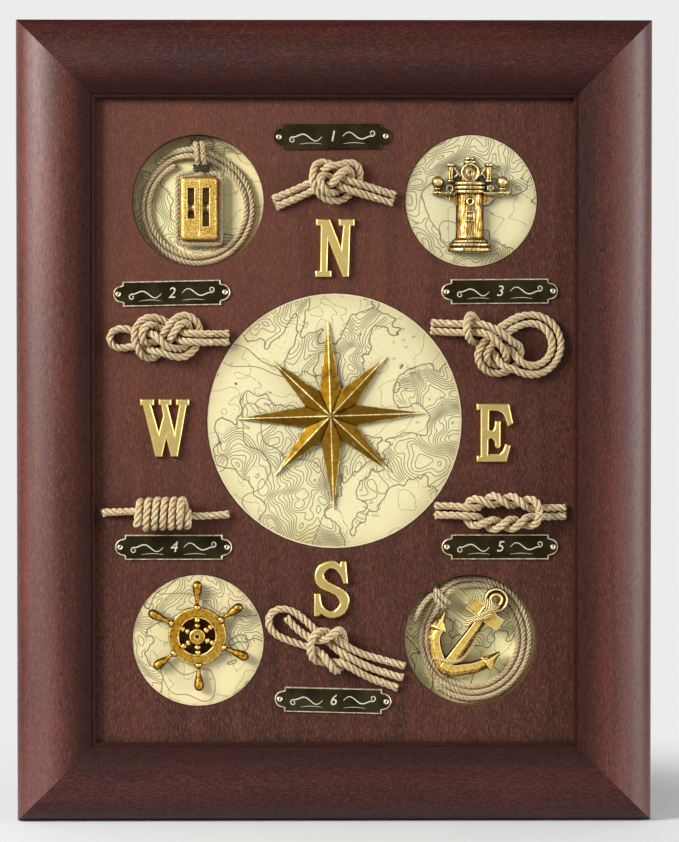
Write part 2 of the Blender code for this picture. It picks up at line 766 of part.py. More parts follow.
def settled(strands, pitch, floor):
    """Ease the strands of a knot apart until none is nearer than a pitch or below the floor.

    Each round evens out the bends, draws the strands back to their routes, pushes close places
    apart and lifts what is too low. The last rounds only push.
    """
    parts = 4
    routes = np.concatenate(strands)
    points = routes.copy()
    counts = [len(strand) for strand in strands]
    bounds = np.cumsum([0] + counts)
    ends = np.concatenate([bounds[:-1], bounds[1:] - 1])
    spacing = np.linalg.norm(strands[0][1] - strands[0][0])
    fine_counts = [(count - 1) * parts + 1 for count in counts]
    skip = int(math.ceil(2.15 * pitch / spacing * parts))
    first, second = far_pairs(fine_counts, skip)
    behind = []
    for start, count in zip(bounds, counts):
        behind += [start + i // parts for i in range((count - 1) * parts)] + [start + count - 1]
    behind = np.array(behind)
    ahead = np.minimum(behind + 1, len(points) - 1)
    share = []
    for count in counts:
        share += [i % parts / parts for i in range((count - 1) * parts)] + [0.0]
    share = np.array(share)[:, None]
    rounds = 500
    for turn in range(rounds):
        if turn < rounds - 160:
            bend = np.zeros_like(points)
            bend[1:-1] = (points[:-2] + points[2:]) / 2 - points[1:-1]
            bend[ends] = 0.0
            even = bend.copy()
            even[1:-1] = (bend[:-2] + bend[2:]) / 2
            ease = bend - even
            ease[ends] = 0.0
            points += 0.3 * ease + 0.03 * bend
            points[:, :2] += 0.03 * (routes[:, :2] - points[:, :2])
            points[:, 2] += 0.01 * (routes[:, 2] - points[:, 2])
        fine = points[behind] * (1 - share) + points[ahead] * share
        if turn % 10 == 0:
            spread = np.linalg.norm(fine[second] - fine[first], axis=1)
            near = spread < 1.8 * pitch
            one = first[near]
            two = second[near]
        gap = fine[two] - fine[one]
        distance = np.linalg.norm(gap, axis=1)
        close = distance < pitch
        push = gap[close] * (0.5 * (pitch / np.maximum(distance[close], 1e-6) - 1))[:, None]
        shift = np.zeros_like(fine)
        pushed = np.zeros(len(fine))
        np.add.at(shift, one[close], -push)
        np.add.at(shift, two[close], push)
        np.add.at(pushed, one[close], 1.0)
        np.add.at(pushed, two[close], 1.0)
        shift /= np.maximum(pushed, 1.0)[:, None]
        active = (pushed > 0)[:, None]
        total = np.zeros_like(points)
        weight = np.zeros((len(points), 1))
        np.add.at(total, behind, shift * (1 - share))
        np.add.at(total, ahead, shift * share)
        np.add.at(weight, behind, active * (1 - share))
        np.add.at(weight, ahead, active * share)
        points += 1.2 * total / np.maximum(weight, 0.25)
        points[:, 2] = np.maximum(points[:, 2], floor)
    return np.split(points, bounds[1:-1])


def rope(name, points, diameter, material, at=(0.0, 0.0, 0.0)):
    """A rope as a tube along its points."""
    curve = bpy.data.curves.new(name, "CURVE")
    curve.dimensions = "3D"
    curve.bevel_depth = diameter / 2
    curve.bevel_resolution = 1
    curve.use_fill_caps = True
    line = curve.splines.new("POLY")
    line.points.add(len(points) - 1)
    for spot, point in zip(line.points, points):
        spot.co = (*point, 1.0)
    line.use_smooth = True
    return place(name, curve, material, at=at)


def laid(route):
    """A route in millimetres and layers as metres above the panel."""
    height = PANEL_TOP + FIT + KNOT_ROPE / 2
    return [(x * MM, y * MM, height + layer * KNOT_SPACING) for x, y, layer in route]


def tie(names, strands, at, hemp):
    """Settle a knot's strands and lay them on the panel as ropes."""
    floor = PANEL_TOP + FIT + KNOT_ROPE / 2
    strands = [resampled(np.array(strand), KNOT_SEGMENT) for strand in strands]
    strands = settled(strands, KNOT_SPACING, floor)
    print(names[0], "least gap", round(least_gap(strands, KNOT_ROPE) * 1000, 2), "mm")
    for name, points in zip(names, strands):
        rope(name, points, KNOT_ROPE, hemp, at=(*at, 0.0))


# The routes of the doubled ropes, as the middle of the pair: x, y and layers above the panel

DOUBLE_EIGHT = [
    (-37.9, -12.9, 0.0), (-27.0, -8.3, 0.0), (-16.1, -3.9, 0.0), (-9.4, 1.1, 0.3),
    (-0.4, 5.6, 1.0), (6.0, 7.7, 0.7), (11.0, 5.6, 0.3), (12.0, 1.0, 0.0), (9.5, -3.5, 0.0),
    (4.5, -7.0, 0.2), (-1.0, -7.8, 0.3), (-7.0, -6.3, 0.7), (-11.3, -2.0, 1.0),
    (-11.5, 3.5, 0.7), (-7.0, 7.5, 0.3), (-1.0, 6.0, 0.0), (4.5, 2.0, 0.4), (10.0, -2.0, 1.0),
    (17.0, -4.6, 0.6), (25.9, -7.3, 0.0), (36.6, -10.6, 0.0),
]

FIGURE_EIGHT = [
    (38.9, -1.1, 0.0), (27.0, -1.0, 0.5), (17.0, -0.5, 1.0), (9.0, 1.0, 0.4),
    (2.5, 4.0, 0.0), (-3.0, 8.0, 0.1), (-9.0, 10.3, 0.3), (-15.0, 7.5, 0.8),
    (-17.5, 1.5, 1.0), (-15.5, -5.0, 0.6), (-10.0, -9.3, 0.2), (-3.5, -6.5, 0.0),
    (1.0, -0.5, 0.6), (4.0, 5.0, 1.1), (9.0, 9.8, 0.6), (15.5, 7.0, 0.2), (18.0, 0.0, 0.0),
    (15.5, -7.0, 0.2), (9.5, -10.5, 0.4), (2.5, -9.5, 0.8), (-3.5, -5.5, 1.1),
    (-10.0, -2.5, 0.5), (-17.0, -1.6, 0.0), (-22.0, -1.4, 0.0),
]

BOWLINE = [
    (-41.0, 10.0, 0.0), (-31.0, 9.3, 0.2), (-22.0, 9.0, 0.9), (-16.0, 9.8, 1.1),
    (-9.5, 10.3, 1.3), (-3.0, 6.5, 1.6), (3.0, 1.0, 1.8), (8.5, -4.5, 1.5), (11.5, -10.0, 0.5),
    (9.0, -15.0, 0.0), (3.0, -17.5, 0.0), (-5.0, -15.5, 0.2), (-11.0, -9.0, 0.8),
    (-9.0, -2.0, 1.2), (-2.0, 2.8, 0.7), (6.0, 9.0, 0.2), (13.0, 13.5, 0.0), (21.5, 16.0, 0.0),
    (33.5, 11.0, 0.0), (38.6, -1.2, 0.0), (33.5, -13.3, 0.0), (21.5, -18.3, 0.2),
    (13.0, -14.5, 0.9), (6.0, -9.5, 1.1), (-1.0, -4.0, 0.5), (-8.0, 1.5, 0.0),
]

# The bowline's single strand round its own standing pair, from the lower to the upper strand
BOWLINE_COLLAR = [
    (-13.5, 1.0, 0.8), (-18.0, 4.0, 1.9), (-20.0, 9.5, 2.2), (-18.5, 15.0, 1.3),
    (-15.0, 15.5, 0.2), (-12.0, 10.0, 0.0),
]

REEF_ONE = [
    (46.2, -19.7, 0.0), (38.0, -17.4, 0.0), (29.6, -14.8, 0.0), (18.0, -9.5, 0.4),
    (10.5, -4.8, 1.0), (3.0, 0.5, 0.7), (-4.0, 6.0, 0.2), (-8.5, 10.0, 0.0),
    (-14.0, 15.5, 0.0), (-19.7, 20.9, 0.0), (-30.2, 25.3, 0.4), (-37.5, 22.0, 0.3),
    (-39.0, 14.0, 0.0), (-35.1, 7.4, 0.0), (-24.0, 3.8, 0.0), (-13.5, -1.0, 0.0),
    (-7.0, -3.0, 0.2), (-2.0, -5.0, 1.1), (1.5, -9.5, 1.9), (5.5, -13.5, 0.9),
    (9.5, -9.5, 0.0), (10.5, -3.0, 0.0), (9.0, 3.5, 0.0), (7.5, 10.0, 0.2),
    (3.5, 12.0, 1.1), (1.0, 7.5, 2.0), (-3.5, 5.0, 1.2), (-10.5, 4.6, 0.2),
    (-20.9, 11.7, 0.0), (-26.5, 18.5, 0.0),
]

REEF_TWO = [
    (47.4, -12.3, 0.0), (37.0, -9.3, 0.0), (26.5, -6.2, 0.0), (16.0, -2.8, 0.6),
    (9.0, 2.5, 1.0), (3.5, 8.3, 1.0), (-2.5, 11.5, 1.6), (-8.8, 8.5, 2.0), (-11.8, 2.0, 1.8),
    (-11.8, -4.5, 1.5), (-7.4, -9.6, 1.1), (-1.2, -11.0, 0.8), (7.0, -11.0, 1.0),
    (14.5, -14.0, 0.5), (23.4, -19.1, 0.0), (33.0, -22.5, 0.0), (43.1, -25.9, 0.0),
]


def doubled(route):
    """Both strands of a doubled rope, one pitch apart."""
    middle = curve_through(laid(route), KNOT_SEGMENT)
    return beside(middle, KNOT_SPACING / 2), beside(middle, -KNOT_SPACING / 2)


def figure_eight_strand():
    """One rope, doubled, whose bight is the eye that stands out at the left."""
    left, right = doubled(FIGURE_EIGHT)
    eye_x = -28.8 * MM
    eye_y = -1.4 * MM
    radius = 8.4 * MM
    height = PANEL_TOP + FIT + KNOT_ROPE / 2
    eye = []
    for i in range(9):
        angle = math.radians(-40 - 280 * i / 8)
        eye.append((eye_x + radius * math.cos(angle), eye_y + radius * math.sin(angle), height))
    return np.concatenate([left[:-1], eye, right[::-1][1:]])


def bowline_strand():
    """One rope, doubled, whose bight is the collar round the standing pair."""
    left, right = doubled(BOWLINE)
    return np.concatenate([left, laid(BOWLINE_COLLAR), right[::-1]])


def heaving_line_strand():
    """One rope: in from the left, back over itself in close turns, and out to the right."""
    turns = 6.5
    length = 36.0 * MM - KNOT_SPACING
    half_height = 8.3 * MM
    half_depth = 5.5 * MM
    core = 2.75 * MM
    floor = PANEL_TOP + FIT + KNOT_ROPE / 2
    middle = floor + half_depth
    right = length / 2
    points = [(-37.5 * MM, 0.5 * MM, floor), (-30.0 * MM, 0.8 * MM, floor + 0.6 * MM)]
    points += [(-right - 4.5 * MM, 2.0 * MM, middle - 1.5 * MM), (-right, core, middle)]
    points += [(-right / 2, core, middle), (0.0, core, middle), (right / 2, core, middle)]
    points += [(right - 1.5 * MM, core + 0.2 * MM, middle + 0.3 * MM)]
    points += [(right + 2.0 * MM, core + 2.5 * MM, middle + 2.2 * MM)]
    start = math.radians(60)
    count = int(round(turns * 12))
    for i in range(count + 1):
        angle = start + 2 * math.pi * turns * i / count
        x = right - length * i / count
        points.append((x, half_height * math.cos(angle), middle + half_depth * math.sin(angle)))
    points += [(-right - 1.8 * MM, -core - 2.4 * MM, middle - 1.2 * MM)]
    points += [(-right + 2.5 * MM, -core, middle), (-right / 2, -core, middle)]
    points += [(0.0, -core, middle), (right / 2, -core, middle), (right, -core, middle)]
    points += [(right + 5.0 * MM, -2.2 * MM, middle - 1.5 * MM)]
    points += [(30.5 * MM, -1.2 * MM, floor + 0.6 * MM), (41.0 * MM, -0.8 * MM, floor)]
    return curve_through(points, KNOT_SEGMENT)


def surgeon_strands():
    """Two bights hooked through each other, their legs twisted together above and below."""
    half = 17.5
    turns = 2

    def band(sign, phase):
        """The twisted stretch of one rope, from the left end to the right."""
        points = []
        for i in range(13):
            share = i / 12
            angle = phase + 2 * math.pi * turns * share
            arch = 5.2 + 2.0 * math.sin(math.pi * share)
            y = sign * (arch + 2.55 * math.cos(angle))
            points.append((-half + 2 * half * share, y, 0.55 + 0.55 * math.sin(angle)))
        return points

    over = math.pi / 2
    under = -math.pi / 2
    first = [(-42.0, 4.0, 0.0), (-33.0, 4.0, 0.1), (-25.5, 4.2, 0.8)]
    first += band(1, over)
    first += [(22.0, 4.2, 1.2), (24.5, 0.0, 1.3), (22.0, -4.2, 1.2)]
    first += band(-1, over)[::-1]
    first += [(-25.5, -1.7, 0.8), (-33.0, -1.6, 0.1), (-42.0, -1.7, 0.0)]
    second = [(40.0, 2.7, 0.0), (32.0, 2.7, 0.0), (24.5, 2.8, 0.0)]
    second += band(1, under)[::-1]
    second += [(-22.5, 3.6, 0.0), (-24.5, 0.0, 0.0), (-22.5, -3.6, 0.0)]
    second += band(-1, under)
    second += [(24.5, -2.6, 0.0), (32.0, -2.5, 0.0), (40.0, -2.5, 0.0)]
    return [curve_through(laid(first), KNOT_SEGMENT), curve_through(laid(second), KNOT_SEGMENT)]


def make_knots(hemp):
    """The six knots, each beside its plate."""
    tie(["knot_top_first", "knot_top_second"], doubled(DOUBLE_EIGHT),
        (0.0005, TOP_KNOT_Y), hemp)
    tie(["knot_upper_left"], [figure_eight_strand()],
        (-COLUMN_X - 0.0016, SIDE_KNOT_OFFSET + 0.0001), hemp)
    tie(["knot_upper_right"], [bowline_strand()],
        (COLUMN_X - 0.0022, SIDE_KNOT_OFFSET - 0.0040), hemp)
    tie(["knot_lower_left"], [heaving_line_strand()],
        (-COLUMN_X - 0.0035, -SIDE_KNOT_OFFSET - 0.0050), hemp)
    tie(["knot_lower_right_first", "knot_lower_right_second"], surgeon_strands(),
        (COLUMN_X + 0.0013, -SIDE_KNOT_OFFSET - 0.0044), hemp)
    tie(["knot_bottom_first", "knot_bottom_second"],
        [curve_through(laid(REEF_ONE), KNOT_SEGMENT), curve_through(laid(REEF_TWO), KNOT_SEGMENT)],
        (-0.0036, BOTTOM_KNOT_Y + 0.0043), hemp)


# Pulley block window


def make_block(boxwood):
    """A double block: a bevelled shell with two slots and a sheave across each."""
    shape = prism(box_outline(BLOCK_WIDTH, BLOCK_HEIGHT), 0.0, BLOCK_DEPTH)
    bevel_front(shape, BLOCK_DEPTH, BLOCK_BEVEL)
    floor = BLOCK_DEPTH - SLOT_DEPTH
    over = BLOCK_DEPTH + 0.001
    slots = [(-0.0049, 0.0033, 0.0194), (0.0044, 0.0009, 0.0243)]
    cutters = []
    sheaves = []
    for x, y, length in slots:
        cutters.append(moved(prism(box_outline(SLOT_WIDTH, length), floor, over), x, y))
        profile = [(SHEAVE_RADIUS, -SLOT_WIDTH / 2 - 0.0004), (SHEAVE_RADIUS, SLOT_WIDTH / 2 + 0.0004)]
        sheave = lathe(profile, 12)
        sheaves.append(moved(sheave, turn=math.pi / 2, x=x, y=0.0005, z=floor))
    shape = combined(shape, cutters, "DIFFERENCE")
    shape = combined(shape, sheaves, "UNION")
    x, y = window_places()["block"]
    place("pulley_block", mesh_of(shape, "pulley_block", 30.0), boxwood,
          at=(x + BLOCK_RIGHT, y - BLOCK_DOWN, CARD_TOP + FIT))


def eased(share):
    """A smooth step from 0 to 1."""
    share = min(max(share, 0.0), 1.0)
    return share * share * (3 - 2 * share)


def coil(centre, tied_at, first, last, radius, pitch, change, low):
    """A flat coil that changes lanes where it is tied, and is lifted there to let the tie under.

    Angles are in degrees, counted clockwise from the tie; a change of lane takes twice the
    change's own angle.
    """
    points = []
    swing = first
    while swing < last + 0.1:
        lane = -1.0
        off = (swing + 180) % 360 - 180
        for k in range(int(last // 360) + 2):
            lane += eased((swing - 360 * k + change) / (2 * change))
        reach = radius - pitch * lane
        angle = tied_at - math.radians(swing)
        lift = COIL_LIFT * math.exp(-(off / 20) ** 4)
        points.append((centre[0] + reach * math.cos(angle), centre[1] + reach * math.sin(angle),
                       low + lift))
        swing += 7.5 if -30 < off < 29 else 15
    return points


def wraps(half_span, distance, start, sweep):
    """Turns of a tie round a flat bundle, as (along, across, up) from the bundle's middle."""
    points = []
    steps = int(round(sweep / 30))
    total = WRAP_PITCH * sweep / 360
    for i in range(steps + 1):
        angle = math.radians(start + sweep * i / steps)
        across = distance * math.sin(angle)
        if abs(math.sin(angle)) > 0.01:
            across += math.copysign(half_span, across)
        points.append((total * (i / steps - 0.5), across, distance * math.cos(angle)))
    return points


def make_block_ropes(hemp):
    """A coil of two turns in the well, and the strop that holds the block and goes round it."""
    x, y = window_places()["block"]
    low = CARD_TOP + FIT + COIL_ROPE / 2
    coil_x = -0.0003
    coil_y = -0.0046
    turns = coil((coil_x, coil_y), math.pi / 2, -42, 695, BLOCK_COIL_RADIUS,
                 BLOCK_COIL_PITCH, 32, low)
    print("block_rope_coil least gap", round(least_gap([turns], COIL_ROPE) * 1000, 2), "mm")
    rope("block_rope_coil", turns, COIL_ROPE, hemp, at=(x, y, 0.0))

    half_width = BLOCK_WIDTH / 2 + FIT + STROP_ROPE / 2 + 0.0002
    half_height = BLOCK_HEIGHT / 2 + FIT + STROP_ROPE / 2 + 0.0002
    corner = 0.0030
    height = CARD_TOP + FIT + 0.0045
    strop = [(-0.0008, half_height + 0.0024), (-0.0055, half_height + 0.0008)]
    strop += rounded_corner(-half_width, half_height, corner, 90, 180)
    strop += [(-half_width, half_height / 3), (-half_width, -half_height / 3)]
    strop += rounded_corner(-half_width, -half_height, corner, 180, 270)
    strop += [(0.0, -half_height)]
    strop += rounded_corner(half_width, -half_height, corner, 270, 360)
    strop += [(half_width, -half_height / 3), (half_width, half_height / 3)]
    strop += rounded_corner(half_width, half_height, corner, 0, 90)
    strop += [(0.0048, half_height + 0.0010), (0.0038, half_height + 0.0030)]
    strop = [(BLOCK_RIGHT + a, b - BLOCK_DOWN, height) for a, b in strop]
    distance = (COIL_ROPE + STROP_ROPE) / 2 + 0.0006
    half_span = BLOCK_COIL_PITCH / 2 + 0.0008
    bundle_y = coil_y + BLOCK_COIL_RADIUS
    bundle_z = low + COIL_LIFT
    for along, across, up in wraps(half_span, distance, -90, 650):
        strop.append((BLOCK_RIGHT - along + 0.0002, bundle_y + across, bundle_z + up))
    print("block_strop least gap", round(least_gap([strop], STROP_ROPE) * 1000, 2), "mm")
    rope("block_strop", strop, STROP_ROPE, hemp, at=(x, y, 0.0))


def rounded_corner(x, y, radius, start, end):
    """Three points round the corner of a rope that goes about a box, from one degree to another."""
    centre_x = x - math.copysign(radius, x)
    centre_y = y - math.copysign(radius, y)
    points = []
    for i in range(3):
        angle = math.radians(start + (end - start) * i / 2)
        points.append((centre_x + radius * math.cos(angle), centre_y + radius * math.sin(angle)))
    return points


# Binnacle window


def make_binnacle(brass):
    """A half-round binnacle cast in one: plinth, column, collars, hood, lamps and two globes."""
    flat = BINNACLE_SCALE_DEPTH
    column = [
        (13.5, -32.0), (14.0, -31.0), (14.0, -29.6), (13.0, -28.8), (12.6, -27.2),
        (12.0, -26.6), (11.9, -25.0), (10.9, -24.2), (9.4, -23.4), (9.0, -22.0), (8.9, 4.6),
        (9.9, 5.0), (10.3, 6.2), (9.9, 7.3), (10.3, 8.5), (9.9, 9.7), (10.3, 10.9), (9.9, 12.1),
        (6.6, 12.6), (6.9, 17.5), (5.6, 22.6), (3.5, 24.6), (4.1, 25.2), (4.1, 26.4), (2.6, 27.8),
        (0.0, 28.0),
    ]
    base = lathe([(r * MM, y * MM) for r, y in column], 12, math.pi, flat)
    parts = []
    dial = swept_ring([(-0.0007, 0.0), (-0.0007, 0.0014), (0.0007, 0.0014), (0.0007, 0.0)], 0.0050, 20)
    parts.append(moved(dial, 0.0, 0.0175, 0.0050))
    parts.append(moved(cylinder(0.0049, 0.0, 0.0058, 20), 0.0, 0.0175))
    parts.append(moved(cylinder(0.0024, 0.0040, 0.0080, 12), 0.0, -0.0007))
    parts.append(moved(prism(box_outline(0.0049, 0.0054), 0.0040, 0.0078), -0.0008, -0.0097))
    for side in (-1, 1):
        bracket = [(7.0, 5.0), (23.2, 5.0), (23.2, 4.0), (15.5, 2.0), (10.5, -1.8), (7.0, -2.6)]
        outline = [(side * a * MM, b * MM) for a, b in bracket[::-side]]
        parts.append(prism(outline, 0.0, 0.0030))
        parts.append(moved(prism(box_outline(0.0156, 0.0020), 0.0, 0.0052), side * 0.0164, 0.0045))
        foot = [(0.0, 5.0), (2.9, 5.0), (2.9, 6.0), (1.9, 6.6), (1.7, 8.4), (0.0, 8.6)]
        parts.append(moved(lathe([(r * MM, y * MM) for r, y in foot], 12), side * 0.0203, 0.0, 0.0030))
        globe = [(3.8 * math.sin(a), 11.5 - 3.8 * math.cos(a)) for a in np.linspace(0, math.pi, 7)]
        globe[0] = (0.0, 7.7)
        globe[-1] = (0.0, 15.3)
        parts.append(moved(lathe([(r * MM, y * MM) for r, y in globe], 12), side * 0.0203, 0.0, 0.0038))
        lamp = [(0.0, 11.8), (1.7, 11.8), (1.7, 22.3), (2.3, 22.6), (2.3, 23.6), (0.0, 24.4)]
        parts.append(moved(lathe([(r * MM, y * MM) for r, y in lamp], 8), side * 0.0119, 0.0, 0.0022))
        strut = [(side * 0.0115, 0.0210, 0.0022), (side * 0.0050, 0.0150, 0.0022)]
        parts.append(round_bar(strut, 0.0008, 6))
    shape = combined(base, parts, "UNION")
    x, y = window_places()["binnacle"]
    place("binnacle", mesh_of(shape, "binnacle", 30.0), brass, at=(x - 0.0009, y, DISC_TOP + FIT))


# Ship's wheel window


def wheel_handle():
    """Profile of one turned handle, from inside the rim out to its tip."""
    start = WHEEL_RIM_OUTER - 0.0008
    bulge = WHEEL_HANDLE_RADIUS
    span = WHEEL_TIP_RADIUS - WHEEL_RIM_OUTER
    return [
        (0.0, start), (0.0021, start), (0.0021, start + 0.0020), (0.0013, start + 0.0027),
        (0.0015, start + 0.3 * span), (0.8 * bulge, start + 0.5 * span),
        (bulge, start + 0.72 * span), (0.85 * bulge, WHEEL_TIP_RADIUS - 0.0014),
        (0.45 * bulge, WHEEL_TIP_RADIUS - 0.0002), (0.0, WHEEL_TIP_RADIUS),
    ]


def wheel_spoke():
    """Profile of one inner spoke, with its turned bead."""
    start = WHEEL_HUB_RADIUS - 0.0008
    end = WHEEL_RIM_INNER + 0.0008
    middle = (start + end) / 2
    return [
        (0.0, start), (0.0013, start), (0.0011, middle - 0.0012), (0.0019, middle),
        (0.0011, middle + 0.0012), (0.0013, end), (0.0, end),
    ]


def make_wheel(brass):
    """A cast ship's wheel: stepped rim, hub, and six turned spokes that end in handles."""
    rim_middle = (WHEEL_RIM_OUTER + WHEEL_RIM_INNER) / 2
    half = (WHEEL_RIM_OUTER - WHEEL_RIM_INNER) / 2
    top = WHEEL_RIM_THICKNESS
    section = [(-half, 0.0), (-half, top - 0.0010), (0.0008 - half, top), (half - 0.0008, top),
               (half, top - 0.0010), (half, 0.0)]
    rim = swept_ring(section[::-1], rim_middle, 36)
    axis_height = WHEEL_HANDLE_RADIUS + 0.0001
    hub_profile = [(0.0, 0.0), (WHEEL_HUB_RADIUS, 0.0), (WHEEL_HUB_RADIUS, WHEEL_HUB_HEIGHT - 0.0012),
                   (WHEEL_HUB_RADIUS - 0.0012, WHEEL_HUB_HEIGHT), (0.0015, WHEEL_HUB_HEIGHT),
                   (0.0015, WHEEL_HUB_HEIGHT - 0.0020), (0.0, WHEEL_HUB_HEIGHT - 0.0020)]
    hub = lathe(hub_profile, 18)
    bmesh.ops.rotate(hub, verts=hub.verts, cent=(0, 0, 0), matrix=Matrix.Rotation(math.pi / 2, 3, "X"))
    parts = [hub]
    for degrees in WHEEL_TURNS:
        turn = math.radians(degrees)
        parts.append(moved(lathe(wheel_spoke(), 6), z=axis_height, turn=turn))
        parts.append(moved(lathe(wheel_handle(), 6), z=axis_height, turn=turn))
    shape = combined(rim, parts, "UNION")
    x, y = window_places()["wheel"]
    place("ships_wheel", mesh_of(shape, "ships_wheel", 30.0), brass,
          at=(x - 0.0004, y + 0.0028, DISC_TOP + FIT))


# Anchor window


def anchor_arm(side):
    """One arm, curving up from the crown, and the fluke at its end."""
    thick = ANCHOR_THICKNESS
    half = ANCHOR_ARM_HALF
    path = [(-0.5, 6.4), (5.7, 8.9), (11.4, 12.8), (16.2, 17.8), (18.4, 24.0)]
    stations = []
    for i, (a, b) in enumerate(path):
        width = half * (1.0 - 0.06 * i)
        stations.append((side * a * MM, b * MM, width, thick * 0.45, thick * 0.95))
    arm = ridged_bar(stations)
    fluke = [(18.4, 22.3, 5.1, 0.5, 0.75), (19.3, 26.0, 3.6, 0.45, 0.95), (21.3, 33.3, 0.4, 0.3, 0.4)]
    stations = [(side * a * MM, b * MM, w * MM, low * thick, high * thick) for a, b, w, low, high in fluke]
    return [arm, ridged_bar(stations)]


def make_anchor(brass):
    """A fisherman's anchor cast in one with its stock, its ring and a lanyard round the shank."""
    thick = ANCHOR_THICKNESS
    shank = ridged_bar([(0.0, 0.007, ANCHOR_SHANK_HALF * 1.2, thick * 0.5, thick * 1.08),
                        (0.0, 0.030, ANCHOR_SHANK_HALF, thick * 0.5, thick * 1.08),
                        (0.0, ANCHOR_SHANK_LENGTH, ANCHOR_SHANK_HALF * 0.8, thick * 0.5, thick * 1.05)])
    crown = ridged_bar([(0.0, 0.0005, 0.0009, thick * 0.4, thick * 0.6),
                        (0.0, 0.0065, 0.0078, thick * 0.4, thick * 0.95),
                        (0.0, 0.0130, 0.0045, thick * 0.4, thick * 0.9)])
    parts = [crown]
    for side in (-1, 1):
        parts += anchor_arm(side)
    stock = prism(box_outline(0.0206, 0.0072), 0.0, thick * 1.2)
    bevel_front(stock, thick * 1.2, 0.0012)
    parts.append(moved(stock, 0.0, 0.0474))
    half = ANCHOR_RING_HALF
    section = [(-half, 0.0), (-half, 0.0022), (-half * 0.5, 0.0036), (half * 0.1, 0.0028),
               (half * 0.6, 0.0040), (half, 0.0028), (half, 0.0)]
    ring = swept_ring(section[::-1], ANCHOR_RING_RADIUS, 18)
    parts.append(moved(ring, 0.0, ANCHOR_SHANK_LENGTH + ANCHOR_RING_RADIUS))
    for y in (0.0516, 0.0532, 0.0548):
        half_turn = []
        for i in range(7):
            angle = math.pi * i / 6
            half_turn.append((0.0036 * math.cos(angle), y, 0.0008 + thick * math.sin(angle)))
        parts.append(round_bar(half_turn, 0.0009, 6))
    shape = combined(shank, parts, "UNION")
    x, y = window_places()["anchor"]
    place("anchor", mesh_of(shape, "anchor", 25.0), brass,
          at=(x - 0.0189, y - 0.0230, CARD_TOP + FIT + COIL_ROPE + FIT), turn=ANCHOR_TILT)


def make_anchor_ropes(hemp):
    """Three turns of rope round the well, lashed together at the upper left."""
    x, y = window_places()["anchor"]
    low = CARD_TOP + FIT + COIL_ROPE / 2
    centre = Vector((0.0015, 0.0003, 0.0))
    lashed_at = math.radians(129)
    inner = ANCHOR_COIL_RADIUS - 2 * ANCHOR_COIL_PITCH
    turns = coil((0.0, 0.0), lashed_at, 75, 985, inner, -ANCHOR_COIL_PITCH, 22, low)
    turns = [(centre.x + a * ANCHOR_COIL_SQUASH, centre.y + b, c) for a, b, c in turns]
    print("anchor_rope_coil least gap", round(least_gap([turns], COIL_ROPE) * 1000, 2), "mm")
    rope("anchor_rope_coil", turns, COIL_ROPE, hemp, at=(x, y, 0.0))

    out = Vector((math.cos(lashed_at) * ANCHOR_COIL_SQUASH, math.sin(lashed_at), 0.0))
    along = Vector((-out.y, out.x, 0.0))
    up = Vector((0.0, 0.0, 1.0))
    distance = COIL_ROPE + 0.0005
    half_span = ANCHOR_COIL_PITCH / 2 + 0.0006
    middle = centre + out * (ANCHOR_COIL_RADIUS - ANCHOR_COIL_PITCH) + up * (low + COIL_LIFT)
    lashing = []
    for forward, across, rise in wraps(half_span, distance, 150, 600):
        lashing.append(middle + along * forward + out * across + up * rise)
    lashing.append(Vector((-0.0306, 0.0217, low + 0.0068)))
    lashing.append(Vector((-0.0360, 0.0125, low + 0.0036)))
    print("anchor_coil_lashing least gap", round(least_gap([lashing], COIL_ROPE) * 1000, 2), "mm")
    rope("anchor_coil_lashing", lashing, COIL_ROPE, hemp, at=(x, y, 0.0))


# Back hardware


def screw(name, x, y, head_under, steel):
    """A pan-head screw driven into the back, head towards the wall."""
    shank = SCREW_SHANK / 2
    head = SCREW_HEAD / 2
    rise = SCREW_HEAD_HEIGHT
    profile = [(0.0, SCREW_LENGTH), (shank * 0.4, SCREW_LENGTH - 0.0006), (shank, SCREW_LENGTH - 0.0022),
               (shank, -head_under), (head, -head_under), (head, -head_under - rise * 0.45),
               (head * 0.72, -head_under - rise * 0.88), (0.0, -head_under - rise)]
    shape = lathe(profile, 10)
    turn = Matrix.Rotation(math.pi / 2, 3, "X")
    bmesh.ops.rotate(shape, verts=shape.verts, cent=(0, 0, 0), matrix=turn)
    place(name, mesh_of(shape, name, 40.0), steel, at=(x, y, 0.0))


def strap_loop():
    """Side profile of a hanger strap: a tongue on the rail, curled round the ring's bar."""
    inner = RING_WIRE / 2 + FIT
    outer = inner + STRAP_THICKNESS
    axis = FIT + outer
    points = [(-STRAP_LENGTH, FIT), (0.0, FIT)]
    for i in range(1, 12):
        angle = math.radians(-90 + 285 * i / 11)
        points.append((outer * math.cos(angle), axis + outer * math.sin(angle)))
    for i in range(11, -1, -1):
        angle = math.radians(-90 + 285 * i / 11)
        points.append((inner * math.cos(angle), axis + inner * math.sin(angle)))
    points.append((-STRAP_LENGTH, FIT + STRAP_THICKNESS))
    return points, axis


def ring_loop():
    """The D-ring's centre line about the middle of its bar, hanging down."""
    half = RING_INNER_WIDTH / 2 + RING_WIRE / 2
    corner = 0.0016
    reach = RING_DROP - RING_WIRE / 2 - corner
    points = [(-half + corner, 0.0), (0.0, 0.0), (half - corner, 0.0), (half, -corner)]
    for i in range(1, 8):
        angle = math.pi * i / 8
        points.append((half * math.cos(angle), -corner - reach * math.sin(angle) * 0.92 - 0.0008))
    points.append((-half, -corner))
    return points


